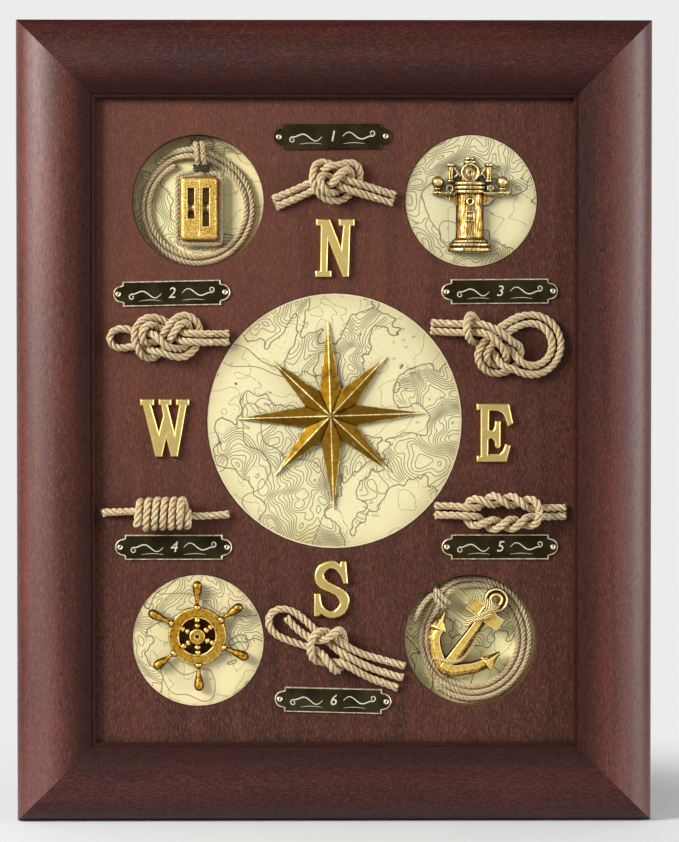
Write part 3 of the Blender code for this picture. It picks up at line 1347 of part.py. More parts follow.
def make_hangers(steel):
    """A strap, a D-ring and a screw on each side rail."""
    profile, axis = strap_loop()
    for label, side in (("left", -1), ("right", 1)):
        x = hanger_x(side)
        shape = bmesh.new()
        near = [shape.verts.new((-STRAP_WIDTH / 2, along, -away)) for along, away in profile]
        face = shape.faces.new(near)
        wide = bmesh.ops.extrude_face_region(shape, geom=[face])
        far = [item for item in wide["geom"] if isinstance(item, bmesh.types.BMVert)]
        bmesh.ops.translate(shape, verts=far, vec=(STRAP_WIDTH, 0.0, 0.0))
        hole = SCREW_SHANK / 2 + FIT
        cutter = bore(0.0, -STRAP_SCREW_DROP, hole, -0.003, 0.001, 12)
        strap = combined(shape, [cutter], "DIFFERENCE")
        name = label + "_hanger_strap"
        place(name, mesh_of(strap, name, 40.0), steel, at=(x, HANGER_OFFSET, 0.0))

        centre = [(a, b, 0.0) for a, b in ring_loop()]
        ring = round_bar(centre, RING_WIRE / 2, 8, closed=True)
        name = label + "_hanger_ring"
        place(name, mesh_of(ring, name, 40.0), steel, at=(x, HANGER_OFFSET, -axis))

        screw(label + "_hanger_screw", x, HANGER_OFFSET - STRAP_SCREW_DROP,
              FIT + STRAP_THICKNESS + FIT, steel)


def make_turn_buttons(steel):
    """Four pressed steel buttons that turn on their screws over the back board's edge."""
    half = BUTTON_WIDTH / 2
    corners = [("upper_left", -1, 1), ("upper_right", 1, 1), ("lower_left", -1, -1), ("lower_right", 1, -1)]
    for label, side, end in corners:
        outline = []
        for i in range(9):
            angle = math.pi / 2 + math.pi * i / 8
            outline.append((half * math.cos(angle), half * math.sin(angle)))
        for i in range(9):
            angle = -math.pi / 2 + math.pi * i / 8
            tip = half * 0.7
            outline.append((BUTTON_REACH - tip + tip * math.cos(angle), tip * math.sin(angle)))
        shape = prism(outline, -FIT - BUTTON_THICKNESS, -FIT)
        cutter = bore(0.0, 0.0, SCREW_SHANK / 2 + FIT, -0.003, 0.001, 12)
        shape = combined(shape, [cutter], "DIFFERENCE")
        name = "turn_button_" + label
        turn = math.pi if side > 0 else 0.0
        place(name, mesh_of(shape, name, 40.0), steel, at=(button_x(side), end * BUTTON_OFFSET, 0.0), turn=turn)
        screw("button_screw_" + label, button_x(side), end * BUTTON_OFFSET,
              FIT + BUTTON_THICKNESS + FIT, steel)


def main():
    clear_scene()
    stand()
    wood = finish("mahogany moulding", 92, 46, 40, 0.32)
    mahogany = finish("mahogany veneer", 105, 62, 50, 0.5)
    hardboard = finish("brown hardboard", 116, 86, 58, 0.8)
    paper = finish("chart paper", 206, 196, 144, 0.7)
    gold = finish("gilt casting", 190, 150, 66, 0.35, 0.9)
    plate_brass = finish("dark polished brass", 70, 57, 29, 0.18, 0.9)
    boxwood = finish("boxwood", 205, 172, 96, 0.55)
    hemp = finish("hemp rope", 186, 158, 116, 0.85)
    steel = finish("zinc plated steel", 176, 174, 166, 0.35, 1.0)
    make_frame(wood)
    make_boards(mahogany, hardboard)
    make_charts(paper)
    make_rose(gold)
    make_letters(gold)
    make_plates(plate_brass)
    make_block(boxwood)
    make_block_ropes(hemp)
    make_binnacle(gold)
    make_wheel(gold)
    make_anchor(gold)
    make_anchor_ropes(hemp)
    make_knots(hemp)
    make_hangers(steel)
    make_turn_buttons(steel)


main()
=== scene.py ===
"""Looks of a wall board of sailors' knots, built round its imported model.

The board's face looks along -Y, with +X to the right and +Z up. Lengths are in metres, but
outlines and rope routes are listed in millimetres, to the right of and up from the piece's middle.
"""

import math

import bpy
import numpy as np
from mathutils import Matrix, Vector


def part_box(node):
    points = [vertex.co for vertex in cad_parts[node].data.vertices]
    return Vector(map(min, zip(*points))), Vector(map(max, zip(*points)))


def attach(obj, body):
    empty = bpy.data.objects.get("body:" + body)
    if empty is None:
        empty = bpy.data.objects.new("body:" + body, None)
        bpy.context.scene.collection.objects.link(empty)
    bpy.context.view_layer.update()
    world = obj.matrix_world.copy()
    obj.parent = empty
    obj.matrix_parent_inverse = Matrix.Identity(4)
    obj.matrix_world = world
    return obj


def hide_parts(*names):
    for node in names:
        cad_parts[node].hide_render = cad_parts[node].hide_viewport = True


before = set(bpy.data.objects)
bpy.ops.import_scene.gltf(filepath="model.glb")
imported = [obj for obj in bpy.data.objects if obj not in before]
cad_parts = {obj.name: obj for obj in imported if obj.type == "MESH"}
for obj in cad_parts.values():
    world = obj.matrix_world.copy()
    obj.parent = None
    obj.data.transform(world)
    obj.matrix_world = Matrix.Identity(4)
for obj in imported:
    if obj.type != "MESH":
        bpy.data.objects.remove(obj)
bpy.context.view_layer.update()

# Camera
# In front of the board and far back, a very little to its left and above it, aimed just beside its
# middle as in the photograph.

MM = 0.001
PICTURE_HEIGHT = 842
PIXEL = 0.627 * MM
CAMERA_AWAY = 1.9
CAMERA_LEFT = 0.02
CAMERA_UP = 0.04
AIM_RIGHT = 5.0 * PIXEL
AIM_FORWARD = 0.018
SENSOR = 36.0

panel_low, panel_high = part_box("display_panel")
BOARD_Z = (panel_low.z + panel_high.z) / 2
PANEL_FACE = -panel_low.y


def added(name, data):
    """A new object in the scene that shows this data."""
    piece = bpy.data.objects.new(name, data)
    bpy.context.collection.objects.link(piece)
    return piece


def aimed(name, data, spot, target):
    """A camera or lamp at one point, looking at another."""
    stand = added(name, data)
    stand.location = spot
    stand.rotation_euler = (Vector(target) - Vector(spot)).to_track_quat("-Z", "Y").to_euler()
    return stand


camera = bpy.data.cameras.new("camera")
camera.sensor_width = SENSOR
camera.lens = SENSOR * (CAMERA_AWAY - AIM_FORWARD) / (PICTURE_HEIGHT * PIXEL)
camera_spot = (AIM_RIGHT - CAMERA_LEFT, -CAMERA_AWAY, BOARD_Z + CAMERA_UP)
bpy.context.scene.camera = aimed("camera", camera, camera_spot, (AIM_RIGHT, -AIM_FORWARD, BOARD_Z))
bpy.context.scene.view_settings.view_transform = "Standard"


# Frame rails
# Four lengths of one cushion moulding in a close-pored timber, stained dark mahogany and given a
# satin varnish, mitred at the corners. The uprights are painted lighter than the level rails, as
# painted light and shade. A painted sheen lightens the uprights' crown, and painted shade darkens
# every rail towards its inner edge.

# The uprights' stain is lighter, as painted light, and the level rails' darker, as painted shade.
UPRIGHT_LIT_STAIN = ((66, 23, 16), (98, 42, 32))
LEVEL_SHADED_STAIN = ((46, 12, 7), (68, 23, 16))
SAME_SPOT = 0.000002


def as_seen(colour):
    """A colour as seen, from 0 to 255, made a linear colour; any other value as it is."""
    if not isinstance(colour, tuple):
        return colour
    linear = []
    for channel in colour:
        share = channel / 255
        linear.append(share / 12.92 if share <= 0.04045 else ((share + 0.055) / 1.055) ** 2.4)
    return (*linear, 1.0)


class Value:
    """One output socket, with sums on it written as plain arithmetic."""

    def __init__(self, nodes, socket):
        self.nodes = nodes
        self.socket = socket

    def sum(self, operation, *values):
        return self.nodes.node("ShaderNodeMath", {"operation": operation}, dict(enumerate(values)))

    def __add__(self, other):
        return self.sum("ADD", self, other)

    def __radd__(self, other):
        return self.sum("ADD", other, self)

    def __sub__(self, other):
        return self.sum("SUBTRACT", self, other)

    def __rsub__(self, other):
        return self.sum("SUBTRACT", other, self)

    def __mul__(self, other):
        return self.sum("MULTIPLY", self, other)

    def __rmul__(self, other):
        return self.sum("MULTIPLY", other, self)

    def __truediv__(self, other):
        return self.sum("DIVIDE", self, other)

    def __pow__(self, other):
        return self.sum("POWER", self, other)

    def __abs__(self):
        return self.sum("ABSOLUTE", self)

    def __lt__(self, other):
        return self.sum("LESS_THAN", self, other)

    def __gt__(self, other):
        return self.sum("GREATER_THAN", self, other)


class Nodes:
    """A node tree, with one method that adds any node to it."""

    def __init__(self, tree):
        self.tree = tree

    def node(self, kind, settings, values, output=0):
        """Add a node with its settings and its sockets' values or links."""
        added = self.tree.nodes.new(kind)
        for name, value in settings.items():
            setattr(added, name, value)
        for name, value in values.items():
            self.feed(added.inputs[name], value)
        return Value(self, added.outputs[output])

    def feed(self, socket, value):
        """Link a value to a socket, or write a constant on it."""
        if isinstance(value, Value):
            self.tree.links.new(value.socket, socket)
        else:
            socket.default_value = value

    def parts(self, spot):
        """The three numbers of a vector."""
        return [self.node("ShaderNodeSeparateXYZ", {}, {0: spot}, axis) for axis in "XYZ"]


class Finish(Nodes):
    """A material, written as sums on noises that feed its one shader."""

    def __init__(self, name, roughness=0.5, metallic=0.0, **constants):
        self.material = bpy.data.materials.new(name)
        self.material.use_nodes = True
        super().__init__(self.material.node_tree)
        self.shader = self.tree.nodes["Principled BSDF"]
        for socket, value in {"roughness": roughness, "metallic": metallic, **constants}.items():
            self.put(socket.replace("_", " ").title(), value)

    def put(self, name, value):
        """Feed a socket of the shader."""
        self.feed(self.shader.inputs[name], value)

    def so_far(self, name):
        """What feeds a socket of the shader now."""
        return Value(self, self.shader.inputs[name].links[0].from_socket)

    def place(self, scale=(1.0, 1.0, 1.0), middle=(0.0, 0.0, 0.0)):
        """The piece's own coordinates from a middle, scaled."""
        spot = self.node("ShaderNodeTexCoord", {}, {}, "Object")
        moved = self.node("ShaderNodeVectorMath", {"operation": "SUBTRACT"}, {0: spot, 1: middle})
        return self.node("ShaderNodeMapping", {}, {"Vector": moved, "Scale": scale})

    def noise(self, spot, scale=1.0, detail=2.0, roughness=0.5, distortion=0.0):
        return self.node("ShaderNodeTexNoise", {}, {"Vector": spot, "Scale": scale, "Detail": detail,
                         "Roughness": roughness, "Distortion": distortion})

    def grain(self, scale, detail=2.0, roughness=0.5, distortion=0.0):
        """Noise over the piece itself, with one scale for all axes or one for each."""
        scales = scale if isinstance(scale, tuple) else (scale, scale, scale)
        return self.noise(self.place(scales), 1.0, detail, roughness, distortion)

    def blend(self, share, first, second):
        """The first colour going over into the second, each a value or a colour as seen."""
        shades = {6: as_seen(first), 7: as_seen(second)}
        return self.node("ShaderNodeMix", {"data_type": "RGBA"}, {0: share, **shades}, 2)

    def fade(self, value, start, end):
        """0 below the start and 1 past the end, smooth between them."""
        return self.node("ShaderNodeMapRange", {"interpolation_type": "SMOOTHSTEP"},
                         {0: value, 1: start, 2: end, 3: 0.0, 4: 1.0})

    def colour(self, value):
        """Feed the base colour, with a value or a colour as seen."""
        self.put("Base Color", as_seen(value))

    def rough(self, value):
        """Feed the roughness."""
        self.put("Roughness", value)

    def relief(self, height, depth, strength=1.0):
        """A bump whose full height is a depth in metres."""
        bump = self.node("ShaderNodeBump", {}, {"Height": height, "Distance": depth,
                         "Strength": strength}, "Normal")
        self.put("Normal", bump)


def pick(*objects):
    """Select only these objects, the last of them active."""
    bpy.ops.object.select_all(action="DESELECT")
    for piece in objects:
        piece.select_set(True)
        bpy.context.view_layer.objects.active = piece


def edit(piece):
    """Open a piece in edit mode, all of it selected."""
    pick(piece)
    bpy.ops.object.mode_set(mode="EDIT")
    bpy.ops.mesh.select_all(action="SELECT")


def paint(piece, finish):
    """Give a piece one material."""
    piece.data.materials.clear()
    piece.data.materials.append(finish.material)


def dress(piece, finish, slot, body="board"):
    """Give a finished piece its material, and let it ride on its body; the slot is not used."""
    paint(piece, finish)
    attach(piece, body)


def refined(node, name, angle=35.0):
    """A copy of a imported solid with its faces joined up, smooth on its round stretches."""
    piece = added(name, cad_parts[node].data.copy())
    edit(piece)
    bpy.ops.mesh.remove_doubles(threshold=SAME_SPOT)
    bpy.ops.mesh.customdata_custom_splitnormals_clear()
    bpy.ops.mesh.tris_convert_to_quads(face_threshold=0.03, shape_threshold=1.0)
    bpy.ops.mesh.dissolve_limited(angle_limit=math.radians(0.5))
    bpy.ops.object.mode_set(mode="OBJECT")
    bpy.ops.object.shade_smooth_by_angle(angle=math.radians(angle))
    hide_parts(node)
    return piece


def stained_wood(name, dark, light, along, roughness, coat, pore_share, pore_colour):
    """Stained and varnished wood: long soft figure, short fine pores along the grain, a satin coat."""
    finish = Finish(name, roughness, coat_weight=coat, coat_roughness=0.45)
    finish.put("Specular IOR Level", 0.22)

    def drawn_out(slow, fast, detail=2.0, distortion=0.0):
        """Noise drawn out along the grain."""
        scales = (slow, fast, fast) if along == "x" else (fast, fast, slow)
        return finish.grain(scales, detail, 0.6, distortion)

    figure = drawn_out(6.0, 90.0, 5.0, 0.4)
    cloud = finish.grain(9.0)
    pore = drawn_out(230.0, 1500.0)
    fleck = drawn_out(420.0, 2100.0)
    shade = finish.blend(finish.fade(figure, 0.32, 0.68), dark, light)
    shade = finish.blend(finish.fade(cloud, 0.35, 0.75) * 0.35, shade, dark)
    pale = finish.fade(fleck, 0.50, 0.66)
    shade = finish.blend(pale * pore_share, shade, pore_colour)
    cut = finish.fade(pore, 0.52, 0.66)
    shade = finish.blend(cut * 0.75, shade, tuple(channel * 0.45 for channel in dark))
    finish.colour(shade)
    finish.rough(roughness + 0.06 * figure + 0.15 * cut)
    finish.relief(figure * 0.25 + pale * 0.5 - cut, 0.00009, 0.6)
    return finish


side_moulding = stained_wood("moulding_upright", *UPRIGHT_LIT_STAIN, "z", 0.40, 0.16, 0.34, (146, 104, 92))
end_moulding = stained_wood("moulding_level", *LEVEL_SHADED_STAIN, "x", 0.42, 0.08, 0.30, (128, 84, 74))
# Each row: finish, axis across the rail, inner edge, share of painted sheen on the crown, coat.
for finish, axis, inner, thin, coat in ((side_moulding, 0, 0.150, 0.14, 0.56),
                                        (end_moulding, 2, 0.202, 0.0, 0.16)):
    out = abs(finish.parts(finish.place(middle=(0.0, 0.0, BOARD_Z)))[axis]) - inner
    stain_with_painted_light = finish.so_far("Base Color")
    # Painted shade darkens each rail towards its inner edge.
    painted_edge_shade = 1 - finish.fade(out, 0.004, 0.028)
    stain_with_painted_light = finish.blend(painted_edge_shade * 0.80, stain_with_painted_light, (34, 4, 0))
    # Painted sheen lightens the crown of the uprights.
    crown = finish.fade(out, 0.020, 0.034) * (1 - finish.fade(out, 0.040, 0.049))
    finish.colour(finish.blend(crown * thin, stain_with_painted_light, (140, 92, 84)))
    finish.put("Coat Weight", coat * finish.fade(out, 0.010, 0.030))
    finish.rough(finish.so_far("Roughness") + 0.34 * painted_edge_shade)

TALLER_EACH_END = 0.052
MITRE_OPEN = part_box("frame_top_rail")[1].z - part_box("frame_left_rail")[1].z
for side, wood in (("top", end_moulding), ("bottom", end_moulding), ("left", side_moulding),
                   ("right", side_moulding)):
    rail = refined(f"frame_{side}_rail", f"moulding_{side}")
    for corner in rail.data.vertices:
        spot = corner.co
        off_mitre = abs(spot.x) - abs(spot.z - BOARD_Z) + TALLER_EACH_END
        if abs(off_mitre) < 2 * MITRE_OPEN:
            if wood is side_moulding:
                spot.z += math.copysign(0.95 * MITRE_OPEN, spot.z - BOARD_Z)
            else:
                spot.x += math.copysign(0.95 * MITRE_OPEN, spot.x)
    dress(rail, wood, "moulding")


# Display panel, spacer and back board
# The panel is thin plywood with an upright mahogany veneer, stained and thinly varnished, and
# painted lighter towards its upper left as painted light. The spacer behind it and the back board
# are bare brown hardboard, rough on the wall side.

PANEL_DARK = (55, 25, 17)
PANEL_LIGHT = (80, 39, 27)
WELL_RADIUS = 0.0415

veneer = stained_wood("mahogany_veneer", PANEL_DARK, PANEL_LIGHT, "z", 0.52, 0.06, 0.40, (140, 90, 68))
# Painted light: the veneer is lightened near its upper left, where the key lamp falls.
painted_light_reach = veneer.node("ShaderNodeVectorMath", {"operation": "DISTANCE"},
                         {0: veneer.place(), 1: (-0.12, 0.0, BOARD_Z + 0.16)}, 1)
stain_with_painted_light = veneer.so_far("Base Color")
stain_with_painted_light = veneer.blend((1 - veneer.fade(painted_light_reach, 0.02, 0.34)) * 0.30, stain_with_painted_light, (128, 74, 54))

hardboard = Finish("hardboard", 0.85)
fibres = hardboard.grain(900.0, 4.0, 0.7)
screen = hardboard.grain(260.0, 2.0)
bare = hardboard.blend(hardboard.fade(fibres, 0.3, 0.7), (96, 68, 44), (138, 104, 70))
hardboard.relief(fibres + screen, 0.0001, 0.6)


def lined_wells(finish, shade):
    """The boards' own colour, but cream where they form the walls of the two deep windows."""
    for node in ("block_chart_card", "anchor_chart_card"):
        low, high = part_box(node)
        middle = ((low.x + high.x) / 2, 0.0, (low.z + high.z) / 2)
        right, away, up = finish.parts(finish.place(middle=middle))
        reach = (right * right + up * up) ** 0.5
        in_well = (reach < WELL_RADIUS) * (away < high.y)
        shade = finish.blend(in_well, shade, (206, 190, 140))
    return shade


veneer.colour(lined_wells(veneer, stain_with_painted_light))
hardboard.colour(lined_wells(hardboard, bare))
for node, finish in (("display_panel", veneer), ("spacer_board", hardboard), ("back_board", hardboard)):
    paint(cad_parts[node], finish)


# Charts
# Old sea charts printed on cream paper, varnished and gone brown towards the edge. Three are
# glued on discs that fill their windows, and two on cards at the bottom of the deeper wells. The
# two cards are painted paler than the discs, as painted light against the shade of the wells.

CHART_INK = (46, 38, 16)


def chart_paper(name, middle, radius, seed, paper, aged):
    """Cream paper printed with a made-up coast: shore, contours, depth lines, tracks and dots."""
    finish = Finish(name, 0.55, coat_weight=0.12, coat_roughness=0.3)
    spot = finish.place((1000.0, 1000.0, 1000.0), middle=middle)
    right, away, up = finish.parts(spot)

    def land(shift_right, shift_up, scale, detail, offset):
        """A rolling height over the chart, read a little beside the point."""
        beside = finish.node("ShaderNodeCombineXYZ", {}, {0: right + shift_right, 1: seed + offset,
                             2: up + shift_up})
        return finish.noise(beside, scale, detail, 0.5, 0.3)

    def lines(scale, detail, count, width, offset):
        """Even lines where the height passes each of a number of steps."""
        here = land(0.0, 0.0, scale, detail, offset) * count
        slope_right = land(0.2, 0.0, scale, detail, offset) * count - here
        slope_up = land(0.0, 0.2, scale, detail, offset) * count - here
        slope = (slope_right * slope_right + slope_up * slope_up) ** 0.5 / 0.2
        off = abs(here - here.sum("ROUND", here))
        distance = off / (slope + 0.004)
        return 1 - finish.fade(distance, width * 0.5, width * 1.6)

    ground = land(0.0, 0.0, 0.021, 1.5, 0.0)
    shore = lines(0.021, 3.5, 2.0, 0.28, 0.0)
    ashore = finish.fade(ground, 0.49, 0.51)
    contours = lines(0.030, 1.8, 40.0, 0.25, 3.0) * ashore
    depths = lines(0.030, 2.0, 7.0, 0.22, 7.0) * (1 - ashore)
    slant = right * 0.9 + up * 0.7
    dashes = slant.sum("PINGPONG", slant, 0.55) > 0.24
    tracks = lines(0.016, 1.0, 3.0, 0.22, 11.0)
    fields = finish.node("ShaderNodeTexVoronoi", {"feature": "DISTANCE_TO_EDGE"},
                         {"Vector": spot, "Scale": 0.11, "Randomness": 0.9})
    hedges = (1 - finish.fade(fields, 0.004, 0.018)) * ashore
    stones = finish.node("ShaderNodeTexVoronoi", {}, {"Vector": spot, "Scale": 0.55})
    dots = (1 - finish.fade(stones, 0.10, 0.2)) * finish.fade(ground, 0.455, 0.47) * (1 - ashore)
    print_share = shore * 0.9
    for share in (contours * 0.80, depths * dashes * 0.85, tracks * 0.85, hedges * 0.3, dots * 0.85):
        print_share = print_share.sum("MAXIMUM", print_share, share)
    grain = finish.grain(400.0, 4.0, 0.7)
    stain = finish.grain(28.0, 3.0)
    reach = (right * right + up * up) ** 0.5 / (radius / MM)
    brown = finish.fade(reach + 0.35 * (stain - 0.5), 0.80, 1.15)
    shade = finish.blend(brown, paper, aged)
    shade = finish.blend(finish.fade(grain, 0.35, 0.75) * 0.10, shade, aged)
    shade = finish.blend(print_share * 0.92, shade, CHART_INK)
    # A painted highlight: a pale line along the rim of the chart.
    painted_rim_highlight = finish.fade(reach, 0.985, 0.992)
    finish.colour(finish.blend(painted_rim_highlight, shade, (222, 210, 170)))
    finish.relief(grain, 0.00003, 0.4)
    return finish


WINDOWS = {
    "compass_chart_disc": (0.080, 3.1, (229, 218, 170), (190, 172, 118)),
    # The two cards in the deep wells are painted paler, as painted light.
    "block_chart_card": (0.0412, 17.0, (246, 235, 178), (208, 191, 128)),
    "binnacle_chart_disc": (0.0412, 29.0, (226, 216, 170), (190, 176, 122)),
    "wheel_chart_disc": (0.0412, 41.0, (226, 212, 160), (190, 172, 118)),
    "anchor_chart_card": (0.0412, 55.0, (252, 241, 176), (224, 206, 136)),
}


def front_middle(node):
    """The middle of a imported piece's front."""
    low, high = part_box(node)
    return Vector(((low.x + high.x) / 2, low.y, (low.z + high.z) / 2))


for node, (radius, seed, paper, aged) in WINDOWS.items():
    chart = chart_paper(node + "_print", front_middle(node), radius, seed, paper, aged)
    paint(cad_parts[node], chart)

ink_black = Finish("chart_ink", 0.6)
ink_black.colour((78, 72, 50))


def fixed():
    """The active piece, its place, turn and scale worked into its mesh."""
    bpy.ops.object.transform_apply(location=True, rotation=True, scale=True)
    return bpy.context.active_object


def flat_words(name, text, height, x, z, face, lean):
    """Flat printed figures lying on a face of the board."""
    pick()
    bpy.ops.object.text_add(location=(x, face, z), rotation=(math.pi / 2, 0.0, 0.0))
    words = bpy.context.active_object
    words.name = name
    words.data.body = text
    words.data.size = height
    words.data.shear = lean
    words.data.align_x = "CENTER"
    words.data.align_y = "CENTER"
    words.data.resolution_u = 2
    bpy.ops.object.convert(target="MESH")
    return fixed()


def one_piece(objects, name):
    """Join loose pieces into one object of that name."""
    pick(*objects)
    bpy.ops.object.join()
    piece = bpy.context.active_object
    piece.name = name
    piece.data.name = name
    return piece


dice = np.random.default_rng(11)
for node, (radius, seed, paper, aged) in WINDOWS.items():
    middle = front_middle(node)
    count = 26 if radius > 0.05 else 8
    figures = []
    for _ in range(count):
        angle = dice.uniform(0, 2 * math.pi)
        reach = radius * math.sqrt(dice.uniform(0.05, 0.86))
        figure = flat_words("sounding", str(dice.integers(2, 48)), dice.uniform(0.0019, 0.0027),
                            middle.x + reach * math.cos(angle), middle.z + reach * math.sin(angle),
                            middle.y - 0.00005, 0.25)
        figures.append(figure)
    soundings = one_piece(figures, node + "_soundings")
    dress(soundings, ink_black, "chart_disc" if "disc" in node else "chart_card")


# Compass rose
# One eight-pointed casting, each point folded along its middle, gilded and rubbed back so that
# dark lacquer stays in the strokes of the brush and along the valleys.


def gilding(name, bright, middle, dark, roughness, metallic, grain, contrast, relief):
    """Old gilding: dark lacquer in creases, painted shade on sides, bright metal on edges."""
    finish = Finish(name, roughness, metallic)
    # The attribute holds edge wear and crease lacquer together with painted shade on sides and low parts.
    edge = finish.node("ShaderNodeAttribute", {"attribute_name": "worn"}, {}, "Fac")
    patch = finish.grain(grain, 4.0, 0.6)
    broad = finish.grain(90.0, 2.0)
    pits = finish.grain(1500.0, 2.0, 0.5)
    rubbed = edge + contrast * (patch - 0.5) + 0.30 * (broad - 0.5)
    shade = finish.blend(finish.fade(rubbed, 0.26, 0.54), dark, middle)
    shade = finish.blend(finish.fade(rubbed, 0.53, 0.80), shade, bright)
    speck = finish.fade(pits, 0.60, 0.68)
    shade = finish.blend(speck * 0.5, shade, tuple(channel * 0.6 for channel in dark))
    finish.colour(shade)
    finish.rough(roughness + 0.22 * (1 - finish.fade(rubbed, 0.2, 0.7)) + 0.1 * speck)
    finish.relief(patch - speck * 0.5, relief, 0.6)
    return finish


def worn(piece, sides=0.34, deep=0.0014, front=(0.0, 0.0, 1.0)):
    """Write on each corner how it stands: 1 on a proud edge, 0.5 on the flat, 0 in a crease.

    What is turned away from the front, or lies deep, counts as low: this is painted shade on the
    sides and low parts.
    """
    mesh = piece.data
    count = len(mesh.vertices)
    spots = np.empty(count * 3)
    mesh.vertices.foreach_get("co", spots)
    spots = spots.reshape(-1, 3)
    ends = np.empty(len(mesh.edges) * 2, dtype=int)
    mesh.edges.foreach_get("vertices", ends)
    one, two = ends.reshape(-1, 2).T
    normals = np.array([tuple(item.vector) for item in mesh.vertex_normals])
    step = spots[two] - spots[one]
    step /= np.maximum(np.linalg.norm(step, axis=1), 1e-9)[:, None]
    shares = np.bincount(one, minlength=count) + np.bincount(two, minlength=count)
    bend = np.bincount(one, np.sum(normals[one] * step, axis=1), count)
    bend -= np.bincount(two, np.sum(normals[two] * step, axis=1), count)
    bend /= np.maximum(shares, 1)
    for _ in range(3):
        near = np.bincount(one, bend[two], count) + np.bincount(two, bend[one], count)
        bend = 0.5 * bend + 0.5 * near / np.maximum(shares, 1)
    # Painted shade: faces turned away from the front and parts lying deep are darkened.
    away = np.clip((0.88 - normals @ np.array(front)) / 0.6, 0.0, 1.0)
    heights = spots @ np.array(front)
    away += 0.8 * np.clip(1.0 - (heights - heights.min()) / deep, 0.0, 1.0)
    written = mesh.attributes.new("worn", "FLOAT", "POINT")
    written.data.foreach_set("value", np.clip(0.5 - 2.8 * bend - sides * away, 0.0, 1.0).astype(np.float32))


def modify(piece, kind, **settings):
    """Add a modifier with its settings to a piece, and apply it."""
    pick(piece)
    bpy.ops.object.modifier_add(type=kind)
    modifier = piece.modifiers[-1]
    for name, value in settings.items():
        setattr(modifier, name, value)
    bpy.ops.object.modifier_apply(modifier=modifier.name)


rose = refined("compass_rose", "rose_casting", 3.0)
modify(rose, "REMESH", mode="VOXEL", voxel_size=0.34 * MM)
bpy.ops.object.shade_smooth_by_angle(angle=math.radians(60))
worn(rose, 0.2, 0.0014, (0.0, -1.0, 0.0))
rose_gilding = gilding("rose_gilding", (255, 240, 180), (124, 90, 16), (58, 34, 0), 0.52, 0.95,
                       230.0, 0.35, 0.00004)
dress(rose, rose_gilding, "gilt_casting")


# Letters
# Four compass letters sawn from brass plate, their edges filed to a bevel, lacquered old gold. The
# strokes of the brush show in the lacquer, and what stands proud is rubbed brighter.

letter_gold = Finish("letter_gilding", 0.38, 1.0)
strokes = letter_gold.grain(420.0, 4.0, 0.65)
patch = letter_gold.grain(130.0, 4.0, 0.6)
pits = letter_gold.grain(1900.0, 2.0, 0.5)
forward = -1.0 * letter_gold.parts(letter_gold.place())[1]
proud = letter_gold.fade(forward, PANEL_FACE, PANEL_FACE + 0.003)
rubbed = letter_gold.fade(strokes * 0.55 + patch * 0.45 + proud * 0.22, 0.42, 0.72)
shade = letter_gold.blend(rubbed, (154, 116, 50), (255, 226, 142))
speck = letter_gold.fade(pits, 0.62, 0.7)
letter_gold.colour(letter_gold.blend(speck * 0.45, shade, (77, 58, 25)))
letter_gold.rough(0.38 + 0.30 * (1 - rubbed) + 0.1 * speck)
letter_gold.relief(strokes * 0.6 + patch - speck * 0.5, 0.00012, 0.5)

for point in ("north", "east", "south", "west"):
    letter = refined(f"letter_{point}", f"lettering_{point}", 20.0)
    modify(letter, "BEVEL", width=0.00016, segments=2, angle_limit=math.radians(25))
    dress(letter, letter_gold, "gilt_casting")


# Name plates
# Thin brass with a dark polished lacquer, held by a round-headed pin in each ear. Each plate
# carries a bright engraved flourish to either side of a plain number.

plate_metal = Finish("dark_brass", 0.22, 0.85)
haze = plate_metal.grain(60.0, 3.0)
hairlines = plate_metal.grain((60.0, 60.0, 4200.0), 2.0)
scuffs = plate_metal.grain(420.0, 3.0, 0.6)
lacquer = plate_metal.blend(plate_metal.fade(haze, 0.3, 0.75), (62, 52, 32), (88, 76, 50))
bare_rim = plate_metal.node("ShaderNodeAttribute", {"attribute_name": "bare_rim"}, {}, "Fac")
filed = plate_metal.blend(plate_metal.fade(scuffs, 0.35, 0.65), (196, 176, 120), (255, 246, 214))
plate_metal.colour(plate_metal.blend(bare_rim, lacquer, filed))
plate_metal.rough(0.20 + 0.10 * haze + 0.06 * hairlines + 0.16 * bare_rim)

bright_brass = Finish("bright_brass", 0.28, 1.0)
rubbed = bright_brass.grain(900.0, 3.0)
worn_brass = bright_brass.blend(bright_brass.fade(rubbed, 0.3, 0.7), (214, 198, 150), (255, 246, 212))
bright_brass.colour(worn_brass)
bright_brass.rough(0.22 + 0.2 * rubbed)

engraving = Finish("engraved_line", 0.5, 0.6)
engraving_grain = engraving.grain(1200.0, 2.0)
engraving.colour(engraving.blend(engraving_grain, (206, 200, 172), (244, 240, 216)))


def new_piece(name, corners, edges, faces):
    """A new object in the scene, from its corners, edges and faces."""
    mesh = bpy.data.meshes.new(name)
    mesh.from_pydata(corners, edges, faces)
    return added(name, mesh)


def close_up():
    """Face the edited piece outward all over, and leave edit mode."""
    bpy.ops.mesh.select_all(action="SELECT")
    bpy.ops.mesh.normals_make_consistent(inside=False)
    bpy.ops.object.mode_set(mode="OBJECT")


def turned(profile, steps, flat=1.0, upright=False):
    """A profile of (radius, height) in millimetres spun about the Y axis, or about Z if upright."""
    corners = [(r * MM, 0.0, h * MM) if upright else (r * MM, h * MM, 0.0) for r, h in profile]
    piece = new_piece("turned", corners, [(i, i + 1) for i in range(len(profile) - 1)], [])
    edit(piece)
    axis = (0.0, 0.0, 1.0) if upright else (0.0, 1.0, 0.0)
    bpy.ops.mesh.spin(steps=steps, angle=2 * math.pi, center=(0.0, 0.0, 0.0), axis=axis)
    bpy.ops.mesh.select_all(action="SELECT")
    bpy.ops.mesh.remove_doubles(threshold=SAME_SPOT)
    close_up()
    piece.scale = (1.0, 1.0, flat)
    return fixed()


